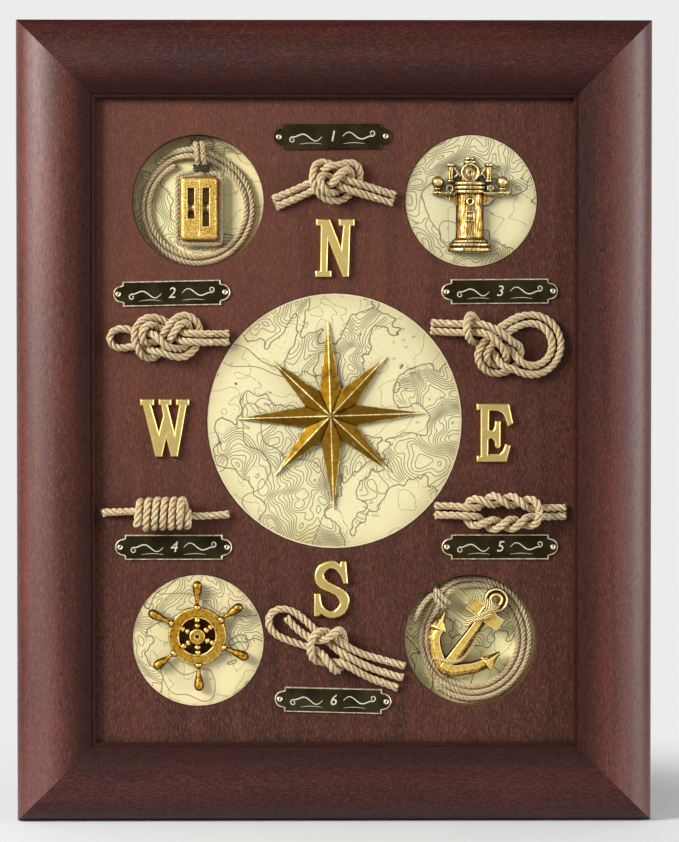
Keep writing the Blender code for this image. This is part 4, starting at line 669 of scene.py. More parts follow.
def inset(piece, facing, thickness, depth=0.0):
    """Set the faces that look one way in from their outline, and leave what is inside selected."""
    pick(piece)
    for face in piece.data.polygons:
        face.select = face.normal.dot(Vector(facing)) > 0.99
    bpy.ops.object.mode_set(mode="EDIT")
    bpy.context.tool_settings.mesh_select_mode = (False, False, True)
    bpy.ops.mesh.inset(thickness=thickness, depth=depth)
    bpy.ops.object.mode_set(mode="OBJECT")


def brass_heads(spots, size, name):
    """Small dished heads, facing front, with a dark disc of painted shade in each dimple."""
    heads = []
    shade_discs = []
    for x, y, z in spots:
        head = turned([(0.4, 0.1), (0.6, 0.55), (0.95, 0.7), (1.3, 0.5), (1.5, -0.1)], 20, upright=True)
        # A dark disc in the middle of each head, as painted shade.
        shade_disc = turned([(0.0, 0.2), (0.5, 0.2)], 12, upright=True)
        for piece, group in ((head, heads), (shade_disc, shade_discs)):
            piece.data.transform(Matrix.Translation((x, y, z)) @ Matrix.Rotation(math.pi / 2, 4, "X")
                                 @ Matrix.Scale(size, 4))
            group.append(piece)
    heads = one_piece(heads, name)
    pick(heads)
    bpy.ops.object.shade_smooth()
    shade_discs = one_piece(shade_discs, name + "_dimples")
    dress(heads, bright_brass, "dark_brass")
    dress(shade_discs, plate_metal, "dark_brass")


def flourish(side):
    """The curl of one side of a plate, in millimetres from its middle."""
    points = []
    for i in range(29):
        share = i / 28
        x = 6.5 + 18.5 * share
        swing = math.sin(share * math.pi * 2.2) * 3.1 * (1 - share) ** 0.6
        points.append((side * x, side * swing))
    for i in range(1, 15):
        angle = math.radians(-90 + 26 * i)
        radius = 1.9 - 0.085 * i
        points.append((side * (25.0 + radius * math.cos(angle)), side * (1.9 + radius * math.sin(angle))))
    return points


def engraved_line(points, face, width):
    """A thin flat line on a plate, narrow at its ends."""
    half = []
    for i in range(len(points)):
        share = i / (len(points) - 1)
        half.append(width * (0.35 + 0.65 * math.sin(math.pi * share) ** 0.6))
    vertices = []
    faces = []
    for i, (x, z) in enumerate(points):
        ahead = points[min(i + 1, len(points) - 1)]
        behind = points[max(i - 1, 0)]
        along = Vector((ahead[0] - behind[0], ahead[1] - behind[1])).normalized()
        vertices.append((x * MM - along.y * half[i], face, z * MM + along.x * half[i]))
        vertices.append((x * MM + along.y * half[i], face, z * MM - along.x * half[i]))
        if i:
            j = 2 * i
            faces.append((j - 2, j - 1, j + 1, j))
    return new_piece("line", vertices, [], faces)


PLATE_TILTS = {"top": 0.5, "upper_left": 1.2, "upper_right": 0.4, "lower_left": 0.0,
               "lower_right": 0.0, "bottom": -1.5}
PIN_REACH = 0.0335
for number, (label, tilt) in enumerate(PLATE_TILTS.items(), 1):
    plate = refined(f"plate_{label}", f"name_plate_{label}", 20.0)
    inset(plate, (0.0, -1.0, 0.0), 0.00042)
    bare_rim = plate.data.attributes.new("bare_rim", "FLOAT", "FACE")
    for face in plate.data.polygons:
        bare_rim.data[face.index].value = 0.0 if face.select else 1.0
    dress(plate, plate_metal, "dark_brass")
    turn = Matrix.Translation(front_middle(f"plate_{label}")) @ Matrix.Rotation(-math.radians(tilt), 4, "Y")

    marks = [flat_words("number", str(number), 0.0096, 0.0, 0.0, -0.00004, 0.2)]
    for side in (-1, 1):
        marks.append(engraved_line(flourish(side), -0.00004, 0.00036))
        under = [(side * (6.5 + 14 * i / 12), -4.6 + 0.7 * math.sin(math.pi * i / 12)) for i in range(13)]
        marks.append(engraved_line(under, -0.00004, 0.00014))
    marks = one_piece(marks, f"engraving_{label}")
    marks.data.transform(turn)
    dress(marks, engraving, "dark_brass")

    spots = [turn @ Vector((side * PIN_REACH, 0.0, 0.0)) for side in (-1, 1)]
    brass_heads(spots, 1.2, f"plate_pins_{label}")


# Knots
# Soft three-strand jute line, each knot laid along its real path, over and under, and tacked down
# near its cut ends. The strands twist round one another, and loose fibres stand off them.

BACK_OF_BOARD = 0.227
KNOT_ROPE = 0.0045
KNOT_SPACING = 0.0052
KNOT_SEGMENT = 0.0046
ROPE_LAID = 0.0049
ROPE_FLOOR = PANEL_FACE + 0.0003 + KNOT_ROPE / 2


def between(a, b, c, d, share):
    """A point between b and c on the smooth curve that also passes a and d."""
    square = share * share
    cube = square * share
    return 0.5 * (2 * b + (c - a) * share + (2 * a - 5 * b + 4 * c - d) * square
                  + (3 * b - a - 3 * c + d) * cube)


def resampled(points, step):
    """Points at even steps along a path."""
    lengths = np.linalg.norm(np.diff(points, axis=0), axis=1)
    along = np.concatenate([[0.0], np.cumsum(lengths)])
    count = max(2, int(round(along[-1] / step)) + 1)
    wanted = np.linspace(0.0, along[-1], count)
    return np.stack([np.interp(wanted, along, points[:, axis]) for axis in range(3)], axis=1)


def curve_through(route, step):
    """Even points on a smooth curve through a route's own points."""
    spots = np.array(route, dtype=float)
    spots = np.concatenate([[2 * spots[0] - spots[1]], spots, [2 * spots[-1] - spots[-2]]])
    fine = []
    for a, b, c, d in zip(spots, spots[1:], spots[2:], spots[3:]):
        for share in np.arange(0.0, 1.0, 0.1):
            fine.append(between(a, b, c, d, share))
    fine.append(spots[-2])
    return resampled(np.array(fine), step)


def unit(rows):
    """Rows of numbers, each brought to a length of one."""
    return rows / np.linalg.norm(rows, axis=1)[:, None]


def beside(path, offset):
    """The path shifted to its left in the plane of the board."""
    along = np.gradient(path, axis=0)
    moved = path.copy()
    moved[:, :2] += unit(np.stack([-along[:, 1], along[:, 0]], axis=1)) * offset
    return moved


def far_pairs(counts, skip):
    """Index pairs of points on different strands, or more than a skip apart along one."""
    owner = np.repeat(np.arange(len(counts)), counts)
    first, second = np.triu_indices(len(owner), 1)
    apart = (owner[first] != owner[second]) | (second - first > skip)
    return first[apart], second[apart]


def settled(strands, pitch, floor):
    """Ease the strands of a knot apart until none is nearer than a pitch or below the floor.

    Each round evens out the bends, draws the strands back to their routes, pushes close places
    apart and lifts what is too low. The last rounds only push.
    """
    parts = 4
    routes = np.concatenate(strands)
    points = routes.copy()
    counts = [len(strand) for strand in strands]
    bounds = np.cumsum([0] + counts)
    ends = np.concatenate([bounds[:-1], bounds[1:] - 1])
    spacing = np.linalg.norm(strands[0][1] - strands[0][0])
    fine_counts = [(count - 1) * parts + 1 for count in counts]
    skip = int(math.ceil(2.15 * pitch / spacing * parts))
    first, second = far_pairs(fine_counts, skip)
    behind = []
    for start, count in zip(bounds, counts):
        behind += [start + i // parts for i in range((count - 1) * parts)] + [start + count - 1]
    behind = np.array(behind)
    ahead = np.minimum(behind + 1, len(points) - 1)
    share = []
    for count in counts:
        share += [i % parts / parts for i in range((count - 1) * parts)] + [0.0]
    share = np.array(share)[:, None]
    rounds = 500
    only_push = 160
    for turn in range(rounds):
        if turn < rounds - only_push:
            bend = np.zeros_like(points)
            bend[1:-1] = (points[:-2] + points[2:]) / 2 - points[1:-1]
            bend[ends] = 0.0
            even = bend.copy()
            even[1:-1] = (bend[:-2] + bend[2:]) / 2
            ease = bend - even
            ease[ends] = 0.0
            points += 0.3 * ease + 0.03 * bend
            points[:, :2] += 0.03 * (routes[:, :2] - points[:, :2])
            points[:, 2] += 0.01 * (routes[:, 2] - points[:, 2])
        fine = points[behind] * (1 - share) + points[ahead] * share
        if turn % 10 == 0:
            spread = np.linalg.norm(fine[second] - fine[first], axis=1)
            near = spread < 1.8 * pitch
            one = first[near]
            two = second[near]
        gap = fine[two] - fine[one]
        distance = np.linalg.norm(gap, axis=1)
        close = distance < pitch
        push = gap[close] * (0.5 * (pitch / np.maximum(distance[close], 1e-6) - 1))[:, None]
        shift = np.zeros_like(fine)
        pushed = np.zeros(len(fine))
        np.add.at(shift, one[close], -push)
        np.add.at(shift, two[close], push)
        np.add.at(pushed, one[close], 1.0)
        np.add.at(pushed, two[close], 1.0)
        shift /= np.maximum(pushed, 1.0)[:, None]
        active = (pushed > 0)[:, None]
        total = np.zeros_like(points)
        weight = np.zeros((len(points), 1))
        np.add.at(total, behind, shift * (1 - share))
        np.add.at(total, ahead, shift * share)
        np.add.at(weight, behind, active * (1 - share))
        np.add.at(weight, ahead, active * share)
        points += 1.2 * total / np.maximum(weight, 0.25)
        points[:, 2] = np.maximum(points[:, 2], floor)
    return np.split(points, bounds[1:-1])


def laid(route):
    """A route in millimetres and layers as metres above the panel."""
    return [(x * MM, y * MM, ROPE_FLOOR + layer * KNOT_SPACING) for x, y, layer in route]


# The routes of the ropes, a doubled one as the middle of its pair: x, y and layers above the panel

DOUBLE_EIGHT = [
    (-37.9, -12.9, 0.0), (-27.0, -8.3, 0.0), (-16.1, -3.9, 0.0), (-9.4, 1.1, 0.3),
    (-0.4, 5.6, 1.0), (6.0, 7.7, 0.7), (11.0, 5.6, 0.3), (12.0, 1.0, 0.0), (9.5, -3.5, 0.0),
    (4.5, -7.0, 0.2), (-1.0, -7.8, 0.3), (-7.0, -6.3, 0.7), (-11.3, -2.0, 1.0),
    (-11.5, 3.5, 0.7), (-7.0, 7.5, 0.3), (-1.0, 6.0, 0.0), (4.5, 2.0, 0.4), (10.0, -2.0, 1.0),
    (17.0, -4.6, 0.6), (25.9, -7.3, 0.0), (36.6, -10.6, 0.0),
]

FIGURE_EIGHT = [
    (38.9, -1.1, 0.0), (27.0, -1.0, 0.5), (17.0, -0.5, 1.0), (9.0, 1.0, 0.4),
    (2.5, 4.0, 0.0), (-3.0, 8.0, 0.1), (-9.0, 10.3, 0.3), (-15.0, 7.5, 0.8),
    (-17.5, 1.5, 1.0), (-15.5, -5.0, 0.6), (-10.0, -9.3, 0.2), (-3.5, -6.5, 0.0),
    (1.0, -0.5, 0.6), (4.0, 5.0, 1.1), (9.0, 9.8, 0.6), (15.5, 7.0, 0.2), (18.0, 0.0, 0.0),
    (15.5, -7.0, 0.2), (9.5, -10.5, 0.4), (2.5, -9.5, 0.8), (-3.5, -5.5, 1.1),
    (-10.0, -2.5, 0.5), (-17.0, -1.6, 0.0), (-22.0, -1.4, 0.0),
]

BOWLINE = [
    (-41.0, 10.0, 0.0), (-31.0, 9.3, 0.2), (-22.0, 9.0, 0.9), (-16.0, 9.8, 1.1),
    (-9.5, 10.3, 1.3), (-3.0, 6.5, 1.6), (3.0, 1.0, 1.8), (8.5, -4.5, 1.5), (11.5, -10.0, 0.5),
    (9.0, -15.0, 0.0), (3.0, -17.5, 0.0), (-5.0, -15.5, 0.2), (-11.0, -9.0, 0.8),
    (-9.0, -2.0, 1.2), (-2.0, 2.8, 0.7), (6.0, 9.0, 0.2), (13.0, 13.5, 0.0), (21.5, 16.0, 0.0),
    (33.5, 11.0, 0.0), (38.6, -1.2, 0.0), (33.5, -13.3, 0.0), (21.5, -18.3, 0.2),
    (13.0, -14.5, 0.9), (6.0, -9.5, 1.1), (-1.0, -4.0, 0.5), (-8.0, 1.5, 0.0),
]

# The bowline's single strand round its own standing pair, from the lower to the upper strand
BOWLINE_COLLAR = [
    (-13.5, 1.0, 0.8), (-18.0, 4.0, 1.9), (-20.0, 9.5, 2.2), (-18.5, 15.0, 1.3),
    (-15.0, 15.5, 0.2), (-12.0, 10.0, 0.0),
]

REEF_ONE = [
    (46.2, -19.7, 0.0), (38.0, -17.4, 0.0), (29.6, -14.8, 0.0), (18.0, -9.5, 0.4),
    (10.5, -4.8, 1.0), (3.0, 0.5, 0.7), (-4.0, 6.0, 0.2), (-8.5, 10.0, 0.0),
    (-14.0, 15.5, 0.0), (-19.7, 20.9, 0.0), (-30.2, 25.3, 0.4), (-37.5, 22.0, 0.3),
    (-39.0, 14.0, 0.0), (-35.1, 7.4, 0.0), (-24.0, 3.8, 0.0), (-13.5, -1.0, 0.0),
    (-7.0, -3.0, 0.2), (-2.0, -5.0, 1.1), (1.5, -9.5, 1.9), (5.5, -13.5, 0.9),
    (9.5, -9.5, 0.0), (10.5, -3.0, 0.0), (9.0, 3.5, 0.0), (7.5, 10.0, 0.2),
    (3.5, 12.0, 1.1), (1.0, 7.5, 2.0), (-3.5, 5.0, 1.2), (-10.5, 4.6, 0.2),
    (-20.9, 11.7, 0.0), (-26.5, 18.5, 0.0),
]

REEF_TWO = [
    (47.4, -12.3, 0.0), (37.0, -9.3, 0.0), (26.5, -6.2, 0.0), (16.0, -2.8, 0.6),
    (9.0, 2.5, 1.0), (3.5, 8.3, 1.0), (-2.5, 11.5, 1.6), (-8.8, 8.5, 2.0), (-11.8, 2.0, 1.8),
    (-11.8, -4.5, 1.5), (-7.4, -9.6, 1.1), (-1.2, -11.0, 0.8), (7.0, -11.0, 1.0),
    (14.5, -14.0, 0.5), (23.4, -19.1, 0.0), (33.0, -22.5, 0.0), (43.1, -25.9, 0.0),
]


def doubled(route):
    """Both strands of a doubled rope, one pitch apart."""
    middle = curve_through(laid(route), KNOT_SEGMENT)
    return beside(middle, KNOT_SPACING / 2), beside(middle, -KNOT_SPACING / 2)


def figure_eight_strand():
    """One rope, doubled, whose bight is the eye that stands out at the left."""
    left, right = doubled(FIGURE_EIGHT)
    eye_x = -28.8 * MM
    eye_y = -1.4 * MM
    radius = 8.4 * MM
    height = ROPE_FLOOR
    eye = []
    for i in range(9):
        angle = math.radians(-40 - 280 * i / 8)
        eye.append((eye_x + radius * math.cos(angle), eye_y + radius * math.sin(angle), height))
    return np.concatenate([left[:-1], eye, right[::-1][1:]])


def bowline_strand():
    """One rope, doubled, whose bight is the collar round the standing pair."""
    left, right = doubled(BOWLINE)
    return np.concatenate([left, laid(BOWLINE_COLLAR), right[::-1]])


def heaving_line_strand():
    """One rope: in from the left, back over itself in close turns, and out to the right."""
    turns = 6.5
    length = 36.0 * MM - KNOT_SPACING
    half_height = 8.3 * MM
    half_depth = 5.5 * MM
    core = 2.75 * MM
    floor = ROPE_FLOOR
    middle = floor + half_depth
    right = length / 2
    points = [(-37.5 * MM, 0.5 * MM, floor), (-30.0 * MM, 0.8 * MM, floor + 0.6 * MM)]
    points += [(-right - 4.5 * MM, 2.0 * MM, middle - 1.5 * MM), (-right, core, middle)]
    points += [(-right / 2, core, middle), (0.0, core, middle), (right / 2, core, middle)]
    points += [(right - 1.5 * MM, core + 0.2 * MM, middle + 0.3 * MM)]
    points += [(right + 2.0 * MM, core + 2.5 * MM, middle + 2.2 * MM)]
    start = math.radians(60)
    count = int(round(turns * 12))
    for i in range(count + 1):
        angle = start + 2 * math.pi * turns * i / count
        x = right - length * i / count
        points.append((x, half_height * math.cos(angle), middle + half_depth * math.sin(angle)))
    points += [(-right - 1.8 * MM, -core - 2.4 * MM, middle - 1.2 * MM)]
    points += [(-right + 2.5 * MM, -core, middle), (-right / 2, -core, middle)]
    points += [(0.0, -core, middle), (right / 2, -core, middle), (right, -core, middle)]
    points += [(right + 5.0 * MM, -2.2 * MM, middle - 1.5 * MM)]
    points += [(30.5 * MM, -1.2 * MM, floor + 0.6 * MM), (41.0 * MM, -0.8 * MM, floor)]
    return curve_through(points, KNOT_SEGMENT)


def surgeon_strands():
    """Two bights hooked through each other, their legs twisted together above and below."""
    half = 17.5
    turns = 2

    def band(sign, phase):
        """The twisted stretch of one rope, from the left end to the right."""
        points = []
        for i in range(13):
            share = i / 12
            angle = phase + 2 * math.pi * turns * share
            arch = 5.2 + 2.0 * math.sin(math.pi * share)
            y = sign * (arch + 2.55 * math.cos(angle))
            points.append((-half + 2 * half * share, y, 0.55 + 0.55 * math.sin(angle)))
        return points

    over = math.pi / 2
    under = -math.pi / 2
    first = [(-42.0, 4.0, 0.0), (-33.0, 4.0, 0.1), (-25.5, 4.2, 0.8)]
    first += band(1, over)
    first += [(22.0, 4.2, 1.2), (24.5, 0.0, 1.3), (22.0, -4.2, 1.2)]
    first += band(-1, over)[::-1]
    first += [(-25.5, -1.7, 0.8), (-33.0, -1.6, 0.1), (-42.0, -1.7, 0.0)]
    second = [(40.0, 2.7, 0.0), (32.0, 2.7, 0.0), (24.5, 2.8, 0.0)]
    second += band(1, under)[::-1]
    second += [(-22.5, 3.6, 0.0), (-24.5, 0.0, 0.0), (-22.5, -3.6, 0.0)]
    second += band(-1, under)
    second += [(24.5, -2.6, 0.0), (32.0, -2.5, 0.0), (40.0, -2.5, 0.0)]
    return [curve_through(laid(first), KNOT_SEGMENT), curve_through(laid(second), KNOT_SEGMENT)]


def rope_frames(path):
    """Directions along a path and across it, carried along it without twist."""
    along = unit(np.gradient(path, axis=0))
    across = np.zeros_like(path)
    side = np.cross(along[0], (0.0, 0.0, 1.0))
    for i, direction in enumerate(along):
        side = side - direction * (side @ direction)
        side /= np.linalg.norm(side)
        across[i] = side
    return along, across, np.cross(along, across)


def tube(path, outward, radius, sides, turns):
    """A tube's corners, faces and their wrapping, ring by ring, with its two ends closed."""
    along = unit(np.gradient(path, axis=0))
    out = unit(outward - along * np.sum(outward * along, axis=1)[:, None])
    side = np.cross(along, out)
    angles = math.pi + 2 * math.pi * np.arange(sides) / sides
    radius = np.broadcast_to(radius, len(path))[:, None, None]
    ring = np.cos(angles)[None, :, None] * out[:, None, :] + np.sin(angles)[None, :, None] * side[:, None, :]
    corners = (path[:, None, :] + radius * ring).reshape(-1, 3)
    faces = []
    wraps = []
    for i in range(len(path) - 1):
        for j in range(sides):
            k = (j + 1) % sides
            faces.append((i * sides + j, i * sides + k, (i + 1) * sides + k, (i + 1) * sides + j))
            low, high = turns[i], turns[i + 1]
            here, there = j / sides, (j + 1) / sides
            wraps += [(low, here), (low, there), (high, there), (high, here)]
    last = (len(path) - 1) * sides
    faces.append(tuple(range(sides))[::-1])
    faces.append(tuple(range(last, last + sides)))
    wraps += [(turns[0], 0.5)] * sides + [(turns[-1], 0.5)] * sides
    return corners, faces, wraps


def rope_object(name, tubes):
    """One object of many tubes laid in board places, stood up on the board."""
    corners = []
    faces = []
    wraps = []
    count = 0
    for some_corners, some_faces, some_wraps in tubes:
        corners.append(some_corners)
        faces += [tuple(index + count for index in face) for face in some_faces]
        wraps += some_wraps
        count += len(some_corners)
    corners = np.concatenate(corners)
    stood = np.stack([corners[:, 0], -corners[:, 2], corners[:, 1] - BACK_OF_BOARD], axis=1)
    piece = new_piece(name, stood.tolist(), [], faces)
    piece.data.uv_layers.new(name="lay").data.foreach_set("uv", np.array(wraps, dtype=np.float32).ravel())
    piece.data.polygons.foreach_set("use_smooth", [len(face) in (3, 4) for face in faces])
    return piece


def fibre(start, direction, length, radius, chance, low, turn):
    """One loose fibre that bends as it leaves the rope and stays above what lies under it."""
    bend = chance.normal(0.0, 0.35, 3)
    points = [start]
    for _ in range(6):
        direction = direction + bend
        direction = direction / np.linalg.norm(direction)
        bend = bend + chance.normal(0.0, 0.22, 3)
        step = points[-1] + direction * length / 6
        step[2] = max(step[2], low)
        points.append(step)
    path = np.array(points)
    path[1:] += chance.normal(0.0, 0.00003, (6, 3))
    thin = radius * np.array([1.0, 1.0, 0.9, 0.8, 0.7, 0.55, 0.3])
    outward = np.tile(chance.normal(0.0, 1.0, 3), (7, 1))
    return tube(path, outward, thin, 3, np.full(7, turn))


def three_strand(name, points, diameter, lay, seed, fibres_each, low, loose=(1.0, 1.0)):
    """A right-hand laid rope along a path, with cut ends and loose fibres."""
    chance = np.random.default_rng(seed)
    path = curve_through(points, diameter / 6)
    along, across, above = rope_frames(path)
    reach = np.concatenate([[0.0], np.cumsum(np.linalg.norm(np.diff(path, axis=0), axis=1))])
    swells = np.arange(0, reach[-1] + 0.02, 0.006)
    swell = 1 + 0.035 * np.interp(reach, swells, chance.normal(0, 1, len(swells)))
    turns = reach / lay + 0.05 * np.sin(reach / 0.011 + seed)
    from_end = np.minimum(reach, reach[-1] - reach)
    splay = 1 + 0.22 * np.exp(-(from_end / (0.45 * diameter)) ** 2)
    tubes = []
    starts = []
    for strand in range(3):
        angle = 2 * math.pi * (turns + strand / 3)
        outward = np.cos(angle)[:, None] * across + np.sin(angle)[:, None] * above
        own = 1 + 0.03 * np.sin(reach / 0.007 + 2.1 * strand + seed)
        middle = path + outward * (0.262 * diameter * swell * splay)[:, None]
        radius = 0.238 * diameter * swell * own
        tubes.append(tube(middle, outward, radius, 9, turns + 0.37 * strand))
        starts.append((middle, outward, radius))
    for _ in range(int(fibres_each * reach[-1] / 0.2)):
        middle, outward, radius = starts[chance.integers(3)]
        i = chance.integers(1, len(path) - 1)
        tilt = chance.normal(0.0, 0.8)
        side = np.cross(along[i], outward[i])
        away = math.cos(tilt) * outward[i] + math.sin(tilt) * side
        start = middle[i] + away * radius[i] * 0.92
        direction = away * chance.uniform(0.15, 0.9) + along[i] * chance.choice((-1, 1)) * 0.9
        length = chance.uniform(0.35, 1.25) * diameter
        tubes.append(fibre(start, direction, length, chance.uniform(0.00003, 0.00006), chance, low,
                           chance.uniform(0, 9)))
    for end, way, amount in ((0, -1.0, loose[0]), (-1, 1.0, loose[1])):
        for _ in range(int(34 * amount)):
            middle, outward, radius = starts[chance.integers(3)]
            spread = chance.normal(0.0, 0.5, 3)
            start = middle[end] + spread * radius[end] * 0.8 - way * along[end] * 0.0003
            direction = way * along[end] + chance.normal(0.0, 0.28 + 0.2 * amount, 3)
            length = diameter * chance.uniform(0.14, 0.34 + 0.22 * amount)
            tubes.append(fibre(start, direction, length, chance.uniform(0.00005, 0.00009), chance, low,
                               chance.uniform(0, 9)))
    return rope_object(name, tubes)


hemp = Finish("jute_line", 0.82, sheen_weight=0.25, sheen_roughness=0.6)
wrap = hemp.node("ShaderNodeUVMap", {"uv_map": "lay"}, {})
wound, around = hemp.parts(wrap)[:2]
winding = (wound * 19.0 + around * 9.0) * (2 * math.pi)
yarn = winding.sum("SINE", winding)
hair_spot = hemp.node("ShaderNodeCombineXYZ", {}, {0: (wound * 2.1 + around) * 26.0, 1: wound * 7.0})
hair = hemp.noise(hair_spot, 1.0, 3.0, 0.6)
tone = hemp.grain(170.0, 3.0, 0.6)
fleck = hemp.grain(1500.0, 2.0, 0.6)
# Painted shade: the grooves between the strands are darkened.
painted_groove_shade = hemp.fade(abs(around - 0.5), 0.17, 0.34)
shade = hemp.blend(hemp.fade(tone, 0.3, 0.7), (252, 206, 136), (255, 234, 172))
# Raised fibres are painted pale and low fibres and yarn troughs dark: partly fibre tone, partly painted
# highlight and shade.
shade = hemp.blend(hemp.fade(hair, 0.46, 0.62) * 0.75, shade, (255, 243, 206))
shade = hemp.blend(hemp.fade(hair, 0.50, 0.34) * 0.62, shade, (138, 98, 56))
shade = hemp.blend((0.5 - 0.5 * yarn) * 0.35, shade, (134, 98, 58))
shade = hemp.blend(hemp.fade(fleck, 0.58, 0.70) * 0.55, shade, (108, 72, 38))
shade = hemp.blend(painted_groove_shade * 0.9, shade, (96, 50, 14))
hemp.colour(shade)
hemp.relief(yarn * 0.5 + hair * 1.6, 0.00026, 1.0)

KNOTS = {
    "knot_top": (doubled(DOUBLE_EIGHT), 0.0005, 0.14966, (0.9, 0.5)),
    "knot_upper_left": ([figure_eight_strand()], -0.1056, 0.0531, (0.7, 0.7)),
    "knot_upper_right": ([bowline_strand()], 0.1018, 0.0490, (0.6, 0.6)),
    "knot_lower_left": ([heaving_line_strand()], -0.1075, -0.0580, (2.6, 0.8)),
    "knot_lower_right": (surgeon_strands(), 0.1053, -0.0574, (0.6, 0.7)),
    "knot_bottom": ([curve_through(laid(REEF_ONE), KNOT_SEGMENT),
                     curve_through(laid(REEF_TWO), KNOT_SEGMENT)], -0.0036, -0.14184, (0.5, 0.6)),
}
LOOP_TACKS = {"knot_upper_left": (-1.0, 0.0), "knot_upper_right": (1.0, -0.1), "knot_bottom": (-1.0, 0.3),
              "knot_lower_right": (1.0, 0.0)}
tack_spots = []
for number, (name, (strands, x, y, loose)) in enumerate(KNOTS.items()):
    strands = [resampled(np.array(strand), KNOT_SEGMENT) for strand in strands]
    strands = settled(strands, KNOT_SPACING, ROPE_FLOOR)
    for order, strand in enumerate(strands):
        strand = strand + np.array([x, y, 0.0])
        label = "" if len(strands) == 1 else ("_first", "_second")[order]
        line = three_strand(f"line{name[4:]}{label}", strand, ROPE_LAID, 0.0126, 10 * number + order,
                            34, PANEL_FACE + 0.0001, loose)
        dress(line, hemp, "hemp")
        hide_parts(f"{name}{label}")
        path = curve_through(strand, 0.001)
        tack_spots += [path[11], path[-12]]
        if name in LOOP_TACKS and order == 0:
            right, up = LOOP_TACKS[name]
            tack_spots.append(path[np.argmax(path[:, 0] * right + path[:, 1] * up)])


# Ropes of the two deep windows
# Thinner line of the same lay: a coil in each well, the strop round the block, made fast to the
# coil with a few turns, and the lashing that ties the anchor's coil.

WINDOW_X = 0.0858
WINDOW_Y = 0.1381345
CARD_TOP = 0.0041
FIT = 0.0003
COIL_ROPE = 0.0032
COIL_LAID = 0.0037
COIL_LIFT = 0.0040
BLOCK_COIL_RADIUS = 0.0345
BLOCK_COIL_PITCH = 0.0039
ANCHOR_COIL_RADIUS = 0.0382
ANCHOR_COIL_PITCH = 0.0040
ANCHOR_COIL_SQUASH = 0.95
WRAP_PITCH = 0.0038
LASHING_LAID = 0.0035
STROP_ROPE = 0.0030
BLOCK_WIDTH = 0.0232
BLOCK_HEIGHT = 0.0400
BLOCK_RIGHT = 0.0007
BLOCK_DOWN = 0.0049
COIL_LOW = CARD_TOP + FIT + COIL_ROPE / 2


def eased(share):
    """A smooth step from 0 to 1."""
    share = min(max(share, 0.0), 1.0)
    return share * share * (3 - 2 * share)


def coil(centre, tied_at, first, last, radius, pitch, change, low):
    """A flat coil that changes lanes where it is tied, and is lifted there to let the tie under.

    Angles are in degrees, counted clockwise from the tie; a change of lane takes twice the
    change's own angle.
    """
    points = []
    swing = first
    while swing < last + 0.1:
        lane = -1.0
        off = (swing + 180) % 360 - 180
        for k in range(int(last // 360) + 2):
            lane += eased((swing - 360 * k + change) / (2 * change))
        reach = radius - pitch * lane
        angle = tied_at - math.radians(swing)
        lift = COIL_LIFT * math.exp(-(off / 20) ** 4)
        points.append((centre[0] + reach * math.cos(angle), centre[1] + reach * math.sin(angle),
                       low + lift))
        swing += 7.5 if -30 < off < 29 else 15
    return points


def wraps(half_span, distance, start, sweep):
    """Turns of a tie round a flat bundle, as (along, across, up) from the bundle's middle."""
    points = []
    steps = int(round(sweep / 30))
    total = WRAP_PITCH * sweep / 360
    for i in range(steps + 1):
        angle = math.radians(start + sweep * i / steps)
        across = distance * math.sin(angle)
        if abs(math.sin(angle)) > 0.01:
            across += math.copysign(half_span, across)
        points.append((total * (i / steps - 0.5), across, distance * math.cos(angle)))
    return points


def rounded_corner(x, y, radius, start, end):
    """Three points round the corner of a rope that goes about a box, from one degree to another."""
    centre_x = x - math.copysign(radius, x)
    centre_y = y - math.copysign(radius, y)
    points = []
    for i in range(3):
        angle = math.radians(start + (end - start) * i / 2)
        points.append((centre_x + radius * math.cos(angle), centre_y + radius * math.sin(angle)))
    return points


coil_y = -0.0046
turns = coil((-0.0003, coil_y), math.pi / 2, -42, 695, BLOCK_COIL_RADIUS, BLOCK_COIL_PITCH, 32, COIL_LOW)
coils = [("block_rope_coil", turns, COIL_LAID, -WINDOW_X, WINDOW_Y)]

half_width = BLOCK_WIDTH / 2 + FIT + STROP_ROPE / 2 + 0.0002
half_height = BLOCK_HEIGHT / 2 + FIT + STROP_ROPE / 2 + 0.0002
corner = 0.0030
height = CARD_TOP + FIT + 0.0045
strop = [(-0.0008, half_height + 0.0024), (-0.0055, half_height + 0.0008)]
strop += rounded_corner(-half_width, half_height, corner, 90, 180)
strop += [(-half_width, half_height / 3), (-half_width, -half_height / 3)]
strop += rounded_corner(-half_width, -half_height, corner, 180, 270)
strop += [(0.0, -half_height)]
strop += rounded_corner(half_width, -half_height, corner, 270, 360)
strop += [(half_width, -half_height / 3), (half_width, half_height / 3)]
strop += rounded_corner(half_width, half_height, corner, 0, 90)
strop += [(0.0048, half_height + 0.0010), (0.0038, half_height + 0.0030)]
strop = [(BLOCK_RIGHT + a, b - BLOCK_DOWN, height) for a, b in strop]
distance = (COIL_ROPE + STROP_ROPE) / 2 + 0.0006
half_span = BLOCK_COIL_PITCH / 2 + 0.0008
bundle_y = coil_y + BLOCK_COIL_RADIUS
bundle_z = COIL_LOW + COIL_LIFT
for along, across, up in wraps(half_span, distance, -90, 650):
    strop.append((BLOCK_RIGHT - along + 0.0002, bundle_y + across, bundle_z + up))
coils.append(("block_strop", strop, STROP_ROPE + 0.0003, -WINDOW_X, WINDOW_Y))

centre = Vector((0.0015, 0.0003, 0.0))
lashed_at = math.radians(129)
inner = ANCHOR_COIL_RADIUS - 2 * ANCHOR_COIL_PITCH
turns = coil((0.0, 0.0), lashed_at, 75, 985, inner, -ANCHOR_COIL_PITCH, 22, COIL_LOW)
turns = [(centre.x + a * ANCHOR_COIL_SQUASH, centre.y + b, c) for a, b, c in turns]
coils.append(("anchor_rope_coil", turns, COIL_LAID, WINDOW_X, -WINDOW_Y))

